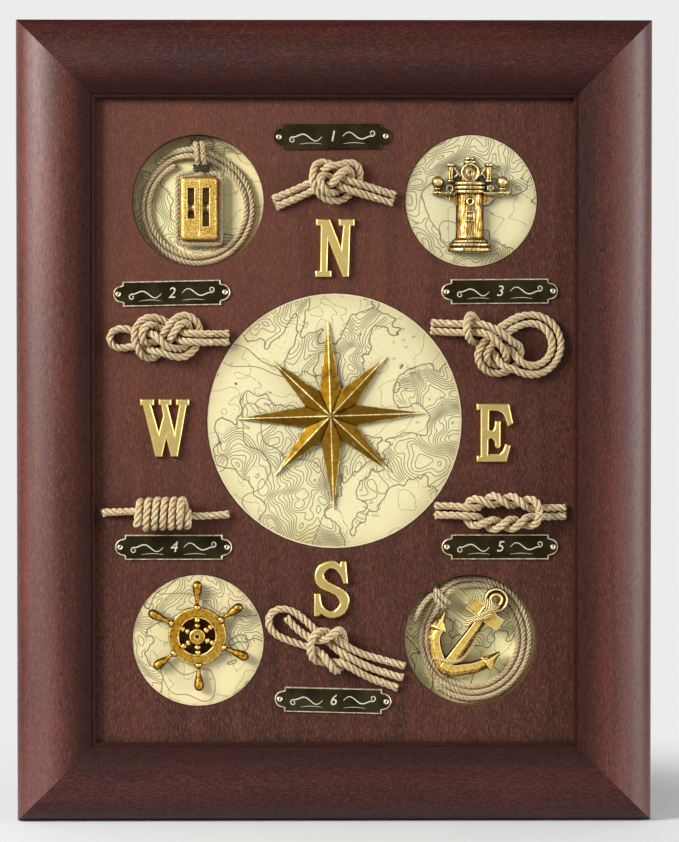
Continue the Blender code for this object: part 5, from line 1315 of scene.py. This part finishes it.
out = Vector((math.cos(lashed_at) * ANCHOR_COIL_SQUASH, math.sin(lashed_at), 0.0))
along = Vector((-out.y, out.x, 0.0))
up = Vector((0.0, 0.0, 1.0))
distance = COIL_ROPE + 0.0005
half_span = ANCHOR_COIL_PITCH / 2 + 0.0006
middle = centre + out * (ANCHOR_COIL_RADIUS - ANCHOR_COIL_PITCH) + up * (COIL_LOW + COIL_LIFT)
lashing = []
for forward, across, rise in wraps(half_span, distance, 150, 600):
    lashing.append(middle + along * forward + out * across + up * rise)
lashing.append(Vector((-0.0306, 0.0217, COIL_LOW + 0.0068)))
lashing.append(Vector((-0.0360, 0.0125, COIL_LOW + 0.0036)))
coils.append(("anchor_coil_lashing", lashing, LASHING_LAID, WINDOW_X, -WINDOW_Y))

for number, (name, points, diameter, x, y) in enumerate(coils):
    points = np.array([tuple(point) for point in points]) + np.array([x, y, 0.0])
    line = three_strand(f"laid_{name}", points, diameter, 0.0088, 70 + number, 16, CARD_TOP + 0.0002,
                        (0.5, 0.5))
    dress(line, hemp, "hemp")
    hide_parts(name)

twine = Finish("tarred_twine", 0.6)
twine_hair = twine.grain(2400.0, 3.0)
twine.colour(twine.blend(twine.fade(twine_hair, 0.4, 0.7), (30, 22, 18), (84, 68, 56)))
seizing = []
for i in range(36):
    swing = 2 * math.pi * i / 10
    reach = 0.0047 + 0.0004 * math.sin(1.7 * i)
    rise = 0.00011 * i + 0.0003 * math.sin(2.3 * i)
    seizing.append((-WINDOW_X + BLOCK_RIGHT + 0.0014 + reach * math.cos(swing),
                    0.1397 - BLOCK_DOWN + half_height + rise, height + 0.0025 * math.sin(swing)))
seizing = three_strand("strop_seizing", seizing, 0.0014, 0.0034, 80, 30, CARD_TOP, (0.6, 0.6))
dress(seizing, twine, "hemp")


# Pulley block
# A double block in one gilded casting: a rounded shell with a fine groove down its middle and two
# slots, a sheave low down in each. The gilding is rubbed bright on the edges, brown in the creases,
# and painted brown in the slots and on its rounded ends as painted shade.


def face_up(piece, x, y, out, turn=0.0):
    """Stand a piece up that was modelled lying on its back, at its place on the board."""
    pick(piece)
    place = Matrix.Translation((x, -out, y - BACK_OF_BOARD)) @ Matrix.Rotation(math.pi / 2, 4, "X")
    piece.matrix_world = place @ Matrix.Rotation(turn, 4, "Z")
    fixed()


def box(middle, size):
    """A block of that size, in millimetres."""
    pick()
    bpy.ops.mesh.primitive_cube_add(size=MM, location=[value * MM for value in middle])
    bpy.context.active_object.scale = size
    return fixed()


def shifted(piece, x, y, z=0.0, turn=0.0):
    """Turn a piece about its own Z axis, in degrees, and move it by millimetres."""
    pick(piece)
    turning = Matrix.Rotation(math.radians(turn), 4, "Z")
    piece.matrix_world = Matrix.Translation((x * MM, y * MM, z * MM)) @ turning
    return fixed()


def ring(major, minor, x, y, z):
    """A round ring lying flat."""
    pick()
    bpy.ops.mesh.primitive_torus_add(major_segments=40, minor_segments=10, major_radius=major * MM,
                                     minor_radius=minor * MM, location=(x * MM, y * MM, z * MM))
    return fixed()


def rod(start, end, radius, sides=12):
    """A round rod between two points, in millimetres."""
    first = Vector(start) * MM
    last = Vector(end) * MM
    pick()
    bpy.ops.mesh.primitive_cylinder_add(vertices=sides, radius=radius * MM, depth=(last - first).length)
    leaning = (last - first).to_track_quat("Z", "Y").to_matrix().to_4x4()
    bpy.context.active_object.matrix_world = Matrix.Translation((first + last) / 2) @ leaning
    return fixed()


def prism(outline, low, high):
    """A flat outline in millimetres, given a thickness by extruding it."""
    corners = [(x * MM, y * MM, low * MM) for x, y in outline]
    piece = new_piece("prism", corners, [], [tuple(range(len(outline)))])
    edit(piece)
    bpy.ops.mesh.extrude_region_move(TRANSFORM_OT_translate={"value": (0.0, 0.0, (high - low) * MM)})
    close_up()
    return piece


def carved(piece, cutters):
    """Cut other pieces out of a piece."""
    for cutter in cutters:
        modify(piece, "BOOLEAN", operation="DIFFERENCE", solver="EXACT", object=cutter)
        bpy.data.objects.remove(cutter)
    return piece


def cast(parts, name, grain, rounds=2):
    """Melt parts into one casting with a flat back and softened creases."""
    for part in parts:
        if min(corner.co.z for corner in part.data.vertices) > -0.00001:
            continue
        edit(part)
        bpy.ops.mesh.bisect(plane_co=(0.0, 0.0, 0.00002), plane_no=(0.0, 0.0, 1.0), use_fill=True,
                            clear_inner=True)
        bpy.ops.object.mode_set(mode="OBJECT")
    piece = one_piece(parts, name)
    modify(piece, "REMESH", mode="VOXEL", voxel_size=grain * MM)
    modify(piece, "SMOOTH", factor=0.5, iterations=rounds)
    bpy.ops.object.shade_smooth_by_angle(angle=math.radians(60))
    return piece


block_y = WINDOW_Y - BLOCK_DOWN
block = box((0.0, 0.0, 4.75), (23.8, 40.6, 9.5))
for side, offset, segments in ((1, 0.0030, 5), (0, 0.0012, 3)):
    for edge in block.data.edges:
        ends = [block.data.vertices[index].co for index in edge.vertices]
        front = min(end.z for end in ends) > 0.0094
        edge.select = front and (abs(ends[0][side] - ends[1][side]) < 1e-5)
    pick(block)
    bpy.ops.object.mode_set(mode="EDIT")
    bpy.context.tool_settings.mesh_select_mode = (False, True, False)
    bpy.ops.mesh.bevel(offset=offset, segments=segments)
    bpy.ops.mesh.select_all(action="DESELECT")
    bpy.ops.object.mode_set(mode="OBJECT")
slots = [box((-4.9, 3.3, 8.0), (4.3, 19.4, 7.0)), box((4.4, 0.9, 8.0), (4.3, 24.3, 7.0)),
         box((-0.2, 0.0, 9.5), (0.45, 44.0, 0.7))]
carved(block, slots)
sheave = [(0.0, -2.4), (3.9, -2.4), (3.9, -1.6), (3.2, -0.6), (3.2, 0.6), (3.9, 1.6), (3.9, 2.4), (0.0, 2.4)]
parts = [block]
for x in (-4.9, 4.4):
    parts.append(shifted(turned(sheave, 28), x, 0.5, 4.3, 90.0))
block = cast(parts, "block_shell", 0.24)
worn(block)
block_gilding = gilding("block_gilding", (255, 240, 160), (214, 170, 70), (84, 46, 6), 0.42, 0.5,
                        1000.0, 1.3, 0.00024)
_, depth_in, up = block_gilding.parts(block_gilding.place())
# Painted shade: brown on all that lies more than about 3 mm behind the front and on the rounded ends.
painted_slot_shade = block_gilding.fade(-1.0 * depth_in, 0.0129, 0.0112)
painted_end_shade = block_gilding.fade(abs(up - (block_y - BACK_OF_BOARD)), 0.0176, 0.0198)
shade = block_gilding.blend(painted_end_shade * 0.8, block_gilding.so_far("Base Color"), (134, 84, 30))
block_gilding.colour(block_gilding.blend(painted_slot_shade * 0.9, shade, (130, 102, 56)))
face_up(block, BLOCK_RIGHT - WINDOW_X, block_y, CARD_TOP + FIT)
dress(block, block_gilding, "gilt_casting")
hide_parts("pulley_block")


# Binnacle
# A half-round binnacle cast in one: moulded plinth, column grained like bark with a port and a
# small framed panel, three collars, the dial with its cap, two lamps, and a globe on each bracket.

column = [(0.0, -32.0), (13.3, -32.0), (13.8, -31.4), (13.8, -30.2), (13.2, -29.6), (12.5, -29.3),
          (12.5, -28.7), (13.1, -28.3), (13.2, -27.3), (12.6, -26.8), (11.7, -26.5), (11.6, -25.3),
          (10.8, -24.6), (9.6, -24.0), (9.0, -23.2), (8.8, -21.5), (8.7, 3.6), (9.0, 4.2), (10.0, 4.7),
          (10.4, 5.5), (10.2, 6.3), (9.4, 6.6), (9.4, 7.0), (10.2, 7.3), (10.5, 8.1), (10.3, 8.9),
          (9.5, 9.2), (9.5, 9.6), (10.2, 9.9), (10.5, 10.7), (10.2, 11.5), (9.4, 12.0), (0.0, 12.2)]
cap = [(0.0, 11.5), (5.8, 11.5), (5.8, 18.5), (5.5, 20.4), (4.7, 21.9), (3.9, 22.9), (3.6, 23.5), (4.0, 23.9),
       (4.0, 24.7), (3.3, 25.1), (3.0, 25.6), (3.4, 26.0), (3.4, 26.9), (2.6, 27.5), (0.0, 27.7)]
trunk = turned(column, 48, 0.80)
port = rod((0.0, -0.8, 5.5), (0.0, -0.8, 9.0), 1.5, 20)
parts = [carved(trunk, [port]), turned(cap, 40, 0.86), ring(1.95, 0.55, 0.0, -0.8, 7.0)]
for middle, size in (((-0.2, -6.9, 6.6), (5.2, 0.7, 1.6)), ((-0.2, -12.7, 6.6), (5.2, 0.7, 1.6)),
                     ((-2.6, -9.8, 6.4), (0.7, 6.4, 1.6)), ((2.2, -9.8, 6.4), (0.7, 6.4, 1.6))):
    parts.append(box(middle, size))
parts.append(shifted(box((0.0, 0.0, 0.0), (1.9, 1.9, 1.4)), -0.2, -9.8, 6.8, 45.0))
dial = carved(rod((0.0, 17.4, 0.5), (0.0, 17.4, 5.9), 5.3, 36),
              [shifted(box((0.0, 0.0, 0.0), (1.5, 1.5, 3.0)), 0.0, 17.4, 5.6, 45.0)])
parts += [dial, ring(5.2, 0.62, 0.0, 17.4, 5.9), ring(2.2, 0.40, 0.0, 17.4, 5.9)]
lamp = [(0.0, 11.8), (2.4, 11.8), (2.4, 12.7), (1.9, 13.0), (1.9, 21.2), (2.6, 21.6), (2.9, 22.3),
        (2.6, 23.1), (1.7, 23.6), (0.0, 23.8)]
globe = [(3.8 * math.sin(a), 11.5 - 3.8 * math.cos(a)) for a in np.linspace(0.0, math.pi, 17)]
foot = [(0.0, 4.6), (3.0, 4.6), (3.1, 5.3), (2.3, 5.8), (1.9, 6.4), (2.2, 7.0), (2.6, 7.4), (1.9, 8.2),
        (0.0, 8.4)]
for side in (-1, 1):
    gusset = [(7.0, 5.0), (23.4, 5.0), (23.4, 4.0), (19.0, 3.4), (15.5, 2.0), (12.6, -0.2), (10.6, -2.0),
              (7.0, -2.8)]
    parts.append(prism([(side * a, b) for a, b in gusset[::-side]], 0.0, 3.2))
    parts.append(box((side * 16.2, 4.6, 2.6), (15.2, 1.3, 5.2)))
    parts.append(box((side * 16.2, 3.5, 2.3), (13.8, 0.7, 4.6)))
    parts.append(rod((side * 23.4, 4.9, 0.4), (side * 23.4, 4.9, 5.0), 0.95))
    parts.append(shifted(turned(foot, 24), side * 20.3, 0.0, 3.0))
    parts.append(shifted(turned(globe, 32), side * 20.3, 0.0, 3.8))
    parts.append(shifted(turned(lamp, 20), side * 11.9, 0.0, 2.3))
    parts.append(rod((side * 10.6, 21.2, 2.6), (side * 5.4, 15.2, 3.0), 0.95))
    parts.append(rod((side * 10.8, 13.4, 2.4), (side * 6.6, 17.6, 2.8), 0.6))
parts.append(rod((12.9, 7.7, 0.3), (12.9, 7.7, 4.0), 2.3, 6))
parts.append(ring(2.0, 0.6, -12.6, 7.6, 2.0))
binnacle = cast(parts, "binnacle_casting", 0.26, 1)
worn(binnacle)
ON_DISC = 0.0138
face_up(binnacle, WINDOW_X - 0.0009, WINDOW_Y, ON_DISC)
bark = gilding("binnacle_gilding", (252, 242, 190), (180, 140, 58), (46, 22, 0), 0.32, 0.80,
               (1300.0, 1300.0, 190.0), 1.6, 0.00045)
dress(binnacle, bark, "gilt_casting")
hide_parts("binnacle")


# Ship's wheel
# One brass casting: a stepped rim, a hub with a hole, and six turned spokes that run through the
# rim and end in handles, not quite evenly set and painted a little darker than the rim as painted
# shade. Its windows are closed at the back by a thin web, painted dark as painted shade.

WHEEL_TURNS = [(0, 35.0), (-55, 34.4), (-113, 35.0), (-178, 34.4), (126, 33.6), (63, 34.4)]
rim = [(11.3, 0.0), (11.3, 3.4), (11.6, 4.1), (12.1, 4.2), (12.5, 3.9), (17.4, 3.9), (18.0, 3.7), (18.3, 3.0),
       (18.3, 0.0), (11.3, 0.0)]
hub = [(0.0, 0.0), (5.1, 0.0), (5.1, 5.4), (4.7, 6.1), (4.0, 6.3), (1.5, 6.3), (1.2, 6.0), (1.1, 3.6),
       (0.0, 3.6)]
spoke = [(0.0, 4.0), (1.4, 4.0), (1.2, 5.2), (1.9, 5.8), (2.3, 6.8), (1.9, 7.8), (1.2, 8.4), (1.2, 8.8),
         (1.8, 9.2), (2.1, 10.0), (1.9, 10.8), (1.6, 12.0), (0.0, 12.0)]
painted_shade_web = [(0.0, 0.0), (11.6, 0.0), (11.6, 0.6), (0.0, 0.6)]
parts = [turned(rim, 72, upright=True), turned(hub, 40, upright=True), turned(painted_shade_web, 48, upright=True)]
for turn, reach in WHEEL_TURNS:
    far = reach - 35.0
    handle = [(0.0, 17.2), (2.3, 17.2), (2.4, 18.6), (2.0, 19.3), (1.3, 19.9), (1.15, 20.6), (1.2, 21.4),
              (1.45, 23.0), (1.9, 25.0 + 0.4 * far), (2.5, 27.5 + 0.6 * far), (2.95, 30.0 + 0.8 * far),
              (3.05, 31.5 + far), (2.75, 33.1 + far), (2.0, 34.2 + far), (1.0, 34.85 + far), (0.0, reach)]
    for profile in (handle, spoke):
        parts.append(shifted(turned(profile, 24), 0.0, 0.0, 3.15, turn))
wheel = cast(parts, "wheel_casting", 0.25, 2)
# Strong painted shade on the sides of the spokes and handles.
worn(wheel, 0.62)
# Painted shade: the handles beyond the rim are darkened.
for corner, mark in zip(wheel.data.vertices, wheel.data.attributes["worn"].data):
    if corner.co.xy.length > 19.0 * MM:
        mark.value = max(0.0, mark.value - 0.13)
face_up(wheel, -WINDOW_X - 0.0004, 0.0028 - WINDOW_Y, ON_DISC)
wheel_gilding = gilding("wheel_gilding", (255, 240, 170), (206, 154, 38), (72, 38, 4), 0.34, 0.80,
                        520.0, 0.9, 0.00018)
dress(wheel, wheel_gilding, "gilt_casting")
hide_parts("ships_wheel")


# Anchor
# A fisherman's anchor in one casting: ridged shank, arms and flukes, a stock of two framed plates,
# a heavy ring with a groove round it, and a cast lanyard that winds about the shank.


def forged(stations, path=(), flat=(-0.12, 0.12)):
    """A ridged bar: its section extruded straight along Y through stations, then bent to a path.

    Each station is a distance along the bar, half its width, the height of its edges and of its
    ridge, in millimetres. The ridge is flat between two shares of the half width. A bar that gets
    bent is made lying on its side, because the bend sets it up on the path.
    """
    along, half, edge, crest = stations[0]
    outline = [(-half, 0.0), (half, 0.0), (half, edge), (half * flat[1], crest), (half * flat[0], crest),
               (-half, edge)]
    section = [(z, x) for x, z in outline] if path else outline
    corners = [(x * MM, along * MM, z * MM) for x, z in section]
    bar = new_piece("bar", corners, [], [(0, 1, 2, 3, 4, 5)])
    edit(bar)
    for (before, old_half, _, old_crest), (after, new_half, _, new_crest) in zip(stations, stations[1:]):
        bpy.ops.mesh.extrude_region_move(TRANSFORM_OT_translate={"value": (0.0, (after - before) * MM, 0.0)})
        wider = new_half / old_half
        higher = new_crest / old_crest
        bpy.ops.transform.resize(value=(higher, 1.0, wider) if path else (wider, 1.0, higher),
                                 center_override=(0.0, after * MM, 0.0))
    close_up()
    if path:
        line = bpy.data.curves.new("bend", "CURVE")
        line.dimensions = "2D"
        spline = line.splines.new("POLY")
        spline.points.add(len(path) - 1)
        for point, (x, y) in zip(spline.points, path):
            point.co = (x * MM, y * MM, 0.0, 1.0)
        guide = added("bend", line)
        modify(bar, "CURVE", object=guide, deform_axis="POS_Y")
        bpy.data.objects.remove(guide)
    return bar


shank = [(5.0, 4.6, 2.2, 5.4), (30.0, 3.8, 2.2, 5.4), (55.0, 3.0, 2.2, 5.0)]
parts = [forged(shank, (), (-0.82, 0.22))]
crown = [(-10.0, 5.0), (-4.6, 1.8), (0.2, 0.3), (4.6, 3.2), (9.4, 8.6), (5.2, 12.4), (0.0, 13.8),
         (-5.2, 12.4)]
parts.append(prism(crown, 0.0, 2.3))
route = [(-18.6, 24.4, 0.0), (-17.2, 17.6, 0.0), (-11.9, 11.4, 0.0), (-6.0, 7.6, 0.0), (-0.5, 6.0, 0.0),
         (4.4, 8.0, 0.0), (9.2, 12.2, 0.0), (14.3, 17.4, 0.0), (18.3, 23.6, 0.0)]
bend = [(x, y) for x, y, _ in curve_through(route, 1.0)]
reach = sum(math.dist(a, b) for a, b in zip(bend, bend[1:]))
widths = []
for i in range(41):
    thick = math.sin(math.pi * i / 40)
    widths.append((reach * i / 40, 3.8 + 0.7 * thick - 0.2 * i / 40, 1.9, 4.2 + 0.8 * thick))
parts.append(forged(widths, bend, (-0.15, 0.72)))
for side in (-1, 1):
    tip = forged([(0.0, 5.6, 1.9, 3.4), (1.6, 5.1, 1.9, 5.2), (7.0, 2.6, 1.7, 4.4), (12.6, 0.7, 1.0, 2.0)],
                 (), (-0.3, 0.1))
    parts.append(shifted(tip, side * 18.5, 22.0, 0.0, -side * 14.0))
for x, y, wide, tall, high in ((6.2, 48.0, 11.6, 9.8, 6.6), (-8.0, 48.4, 8.8, 8.4, 5.8)):
    plate = box((0.0, 0.0, high / 2), (wide, tall, high))
    inset(plate, (0.0, 0.0, 1.0), 0.0010, -0.0007)
    parts.append(shifted(plate, x, y))
loop = [(2.2, 0.0), (2.2, 2.2), (2.7, 3.3), (3.5, 3.8), (4.3, 3.4), (4.9, 2.1), (5.4, 2.1), (5.9, 3.3),
        (6.6, 4.1), (7.4, 3.8), (7.9, 2.6), (7.9, 0.0), (2.2, 0.0)]
parts.append(shifted(turned(loop, 48, upright=True), 0.0, 59.5))
anchor = cast(parts, "anchor_casting", 0.24, 2)
worn(anchor, 0.5, 0.0036)
ANCHOR_PLACE = (WINDOW_X - 0.0189, -WINDOW_Y - 0.0230, 0.0079, math.radians(-36.2))
face_up(anchor, *ANCHOR_PLACE)
anchor_gilding = gilding("anchor_gilding", (255, 248, 196), (242, 200, 96), (84, 46, 6), 0.36, 0.60,
                         480.0, 0.5, 0.00012)
dress(anchor, anchor_gilding, "gilt_casting")
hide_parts("anchor")

turns = []
for i in range(40):
    angle = 2 * math.pi * 3.1 * i / 39
    turns.append((-1.2 + 4.6 * math.cos(angle), 52.3 + 4.6 * i / 39, 4.4 + 2.0 * math.sin(angle)))
hanging = [(1.4, 53.4, 6.2), (-0.2, 50.4, 7.4), (-2.0, 46.6, 7.2), (-4.6, 42.6, 5.0), (-6.2, 38.6, 3.0),
           (-6.0, 35.4, 2.4), (-4.9, 36.0, 2.6), (-4.4, 40.0, 4.6), (-1.8, 43.6, 7.0), (0.6, 46.8, 7.6),
           (2.2, 51.0, 7.2)]
trailing = [(2.8, 36.0, 2.0), (4.4, 30.6, 2.4), (4.9, 24.7, 2.2), (4.8, 18.6, 2.6), (3.4, 14.6, 4.8),
            (-0.6, 11.2, 6.2), (-5.4, 8.8, 5.6), (-10.8, 6.6, 4.2)]
lanyards = []
for number, route in enumerate((turns, hanging, trailing)):
    x, y, out, turn = ANCHOR_PLACE
    placed = []
    for a, b, c in route:
        placed.append((x + (a * math.cos(turn) - b * math.sin(turn)) * MM,
                       y + (a * math.sin(turn) + b * math.cos(turn)) * MM, out + c * MM))
    lanyards.append(three_strand("lanyard", placed, 0.0024, 0.0050, 90 + number, 0, 0.0, (0.0, 0.0)))
lanyards = one_piece(lanyards, "anchor_lanyard")
cord_gold = Finish("lanyard_gilding", 0.36, 0.4)
cord_wrap = cord_gold.node("ShaderNodeUVMap", {"uv_map": "lay"}, {})
cord_groove = cord_gold.fade(abs(cord_gold.parts(cord_wrap)[1] - 0.5), 0.05, 0.22)
cord_gold.colour(cord_gold.blend(cord_groove, (248, 222, 156), (64, 34, 4)))
dress(lanyards, cord_gold, "gilt_casting")


# Hardware on the back
# Zinc-plated steel: a strap folded round each D-ring's bar, pressed turn buttons, and slotted
# pan-head screws that hold them to the rails.

zinc = Finish("zinc_steel", 0.34, 1.0)
spangle = zinc.node("ShaderNodeTexVoronoi", {}, {"Vector": zinc.place((900.0, 900.0, 900.0)), "Scale": 1.0})
tarnish = zinc.grain(160.0, 4.0)
zinc.colour(zinc.blend(zinc.fade(tarnish, 0.35, 0.75) * 0.6, (188, 188, 182), (140, 138, 130)))
zinc.rough(0.28 + 0.12 * spangle + 0.2 * tarnish)

SCREW_SLOT = (0.0085, 0.0018, 0.0009)
BUTTONS = ["upper_left", "upper_right", "lower_left", "lower_right"]
for side in ("left", "right"):
    strap = refined(f"{side}_hanger_strap", f"folded_strap_{side}", 40.0)
    modify(strap, "BEVEL", width=0.00018, segments=2, angle_limit=math.radians(50))
    dress(strap, zinc, "zinc_steel")
    loop = refined(f"{side}_hanger_ring", f"wire_ring_{side}", 180.0)
    modify(loop, "SUBSURF", levels=2)
    dress(loop, zinc, "zinc_steel", f"{side}_ring")
for label in BUTTONS:
    button = refined(f"turn_button_{label}", f"pressed_button_{label}", 30.0)
    modify(button, "BEVEL", width=0.0002, segments=2, angle_limit=math.radians(50))
    dress(button, zinc, "zinc_steel", f"button_{label}")
screws = ["left_hanger_screw", "right_hanger_screw"] + [f"button_screw_{label}" for label in BUTTONS]
for number, node in enumerate(screws):
    low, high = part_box(node)
    screw = refined(node, f"slotted_{node}", 40.0)
    middle = ((low.x + high.x) / 2, high.y, (low.z + high.z) / 2)
    pick()
    bpy.ops.mesh.primitive_cube_add(size=1.0, location=middle, rotation=(0.0, 0.7 * number, 0.0))
    bpy.context.active_object.scale = SCREW_SLOT
    carved(screw, [fixed()])
    dress(screw, zinc, "zinc_steel")


# Rope tacks
# A small brass tack with a round head near each cut end, driven through the line into the panel.
# Four of the ropes have one more where their loop turns back.

spots = [(x, -out - ROPE_LAID / 2 + 0.0004, y - BACK_OF_BOARD) for x, y, out in tack_spots]
brass_heads(spots, 0.72, "rope_tacks")


# Floor, room and lamps
# A pale floor under the board's bottom edge, and a room that looks pale but lights the board as if
# dark in front, where its metals mirror it, and even behind. Two soft lamps stand far out to the
# sides, the left one the stronger, and a weak one high up in front.

pick()
board_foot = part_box("frame_bottom_rail")[0].z
bpy.ops.mesh.primitive_plane_add(size=8.0, location=(0.0, 0.0, board_foot - 0.0004))
floor = bpy.context.active_object
floor.name = "floor"
floor_finish = Finish("floor_paint", 0.9)
floor_finish.colour(floor_finish.blend(floor_finish.grain(3.0), (224, 225, 226), (229, 229, 229)))
floor_away = floor_finish.node("ShaderNodeVectorMath", {"operation": "LENGTH"}, {0: floor_finish.place()}, 1)
floor_finish.put("Alpha", 1 - floor_finish.fade(floor_away, 0.22, 0.50))
floor.data.materials.append(floor_finish.material)

BACKDROP = (0.84, 0.84, 0.84, 1.0)
world = bpy.data.worlds.new("room")
bpy.context.scene.world = world
world.use_nodes = True
room = Nodes(world.node_tree)


def levels(along, stops):
    """A level of light that changes along a stretch from 0 to 1."""
    ramp = room.node("ShaderNodeValToRGB", {}, {0: along})
    elements = ramp.socket.node.color_ramp.elements
    for share, level in stops[1:-1]:
        elements.new(share).color = (level, level, level, 1.0)
    for end in (0, -1):
        level = stops[end][1]
        elements[end].color = (level, level, level, 1.0)
    return ramp


def room_light(colour):
    """A light of the room, even or of a varying colour."""
    return room.node("ShaderNodeBackground", {}, {"Color": colour})


def room_choice(share, first, second):
    """The first light, or the second for the rays that the share marks."""
    return room.node("ShaderNodeMixShader", {}, {0: share, 1: first, 2: second})


heading = room.node("ShaderNodeTexCoord", {}, {}, "Generated")
sideways, backward = room.parts(heading)[:2]
depth = backward * 0.5 + 0.5
walls = levels(abs(sideways), [(0.0, 0.04), (0.20, 0.04), (0.42, 0.95), (0.72, 0.95), (0.93, 0.20),
                               (1.0, 0.12)])
behind = levels(depth, [(0.0, 1.0), (0.47, 1.0), (0.60, 0.30), (0.78, 0.30), (0.90, 0.9), (1.0, 0.9)])
dimmed = room.node("ShaderNodeVectorMath", {"operation": "SCALE"}, {0: walls, "Scale": behind})
ambient = levels(depth, [(0.0, 0.12), (0.50, 0.12), (0.72, 0.60), (1.0, 0.60)])
rays = {}
for kind in ("Is Camera Ray", "Is Transmission Ray", "Is Glossy Ray"):
    rays[kind] = room.node("ShaderNodeLightPath", {}, {}, kind)
mirrored = room_choice(rays["Is Glossy Ray"], room_light(ambient), room_light(dimmed))
straight = rays["Is Camera Ray"] + rays["Is Transmission Ray"]
shown = room_choice(straight, mirrored, room_light(BACKDROP))
room.feed(room.tree.nodes["World Output"].inputs["Surface"], shown)

LAMPS = {
    "left_softbox": ((-1.75, -1.15, BOARD_Z + 0.85), 0.9, 1.0, 75.0),
    "right_softbox": ((2.0, -0.55, BOARD_Z + 0.25), 0.9, 1.3, 34.0),
    "front_fill": ((-0.5, -2.6, BOARD_Z + 1.3), 1.0, 0.8, 8.0),
}
for name, (spot, width, height, power) in LAMPS.items():
    lamp = bpy.data.lights.new(name, "AREA")
    lamp.shape = "RECTANGLE"
    lamp.size = width
    lamp.size_y = height
    lamp.energy = power
    aimed(name, lamp, spot, (0.0, 0.0, BOARD_Z))
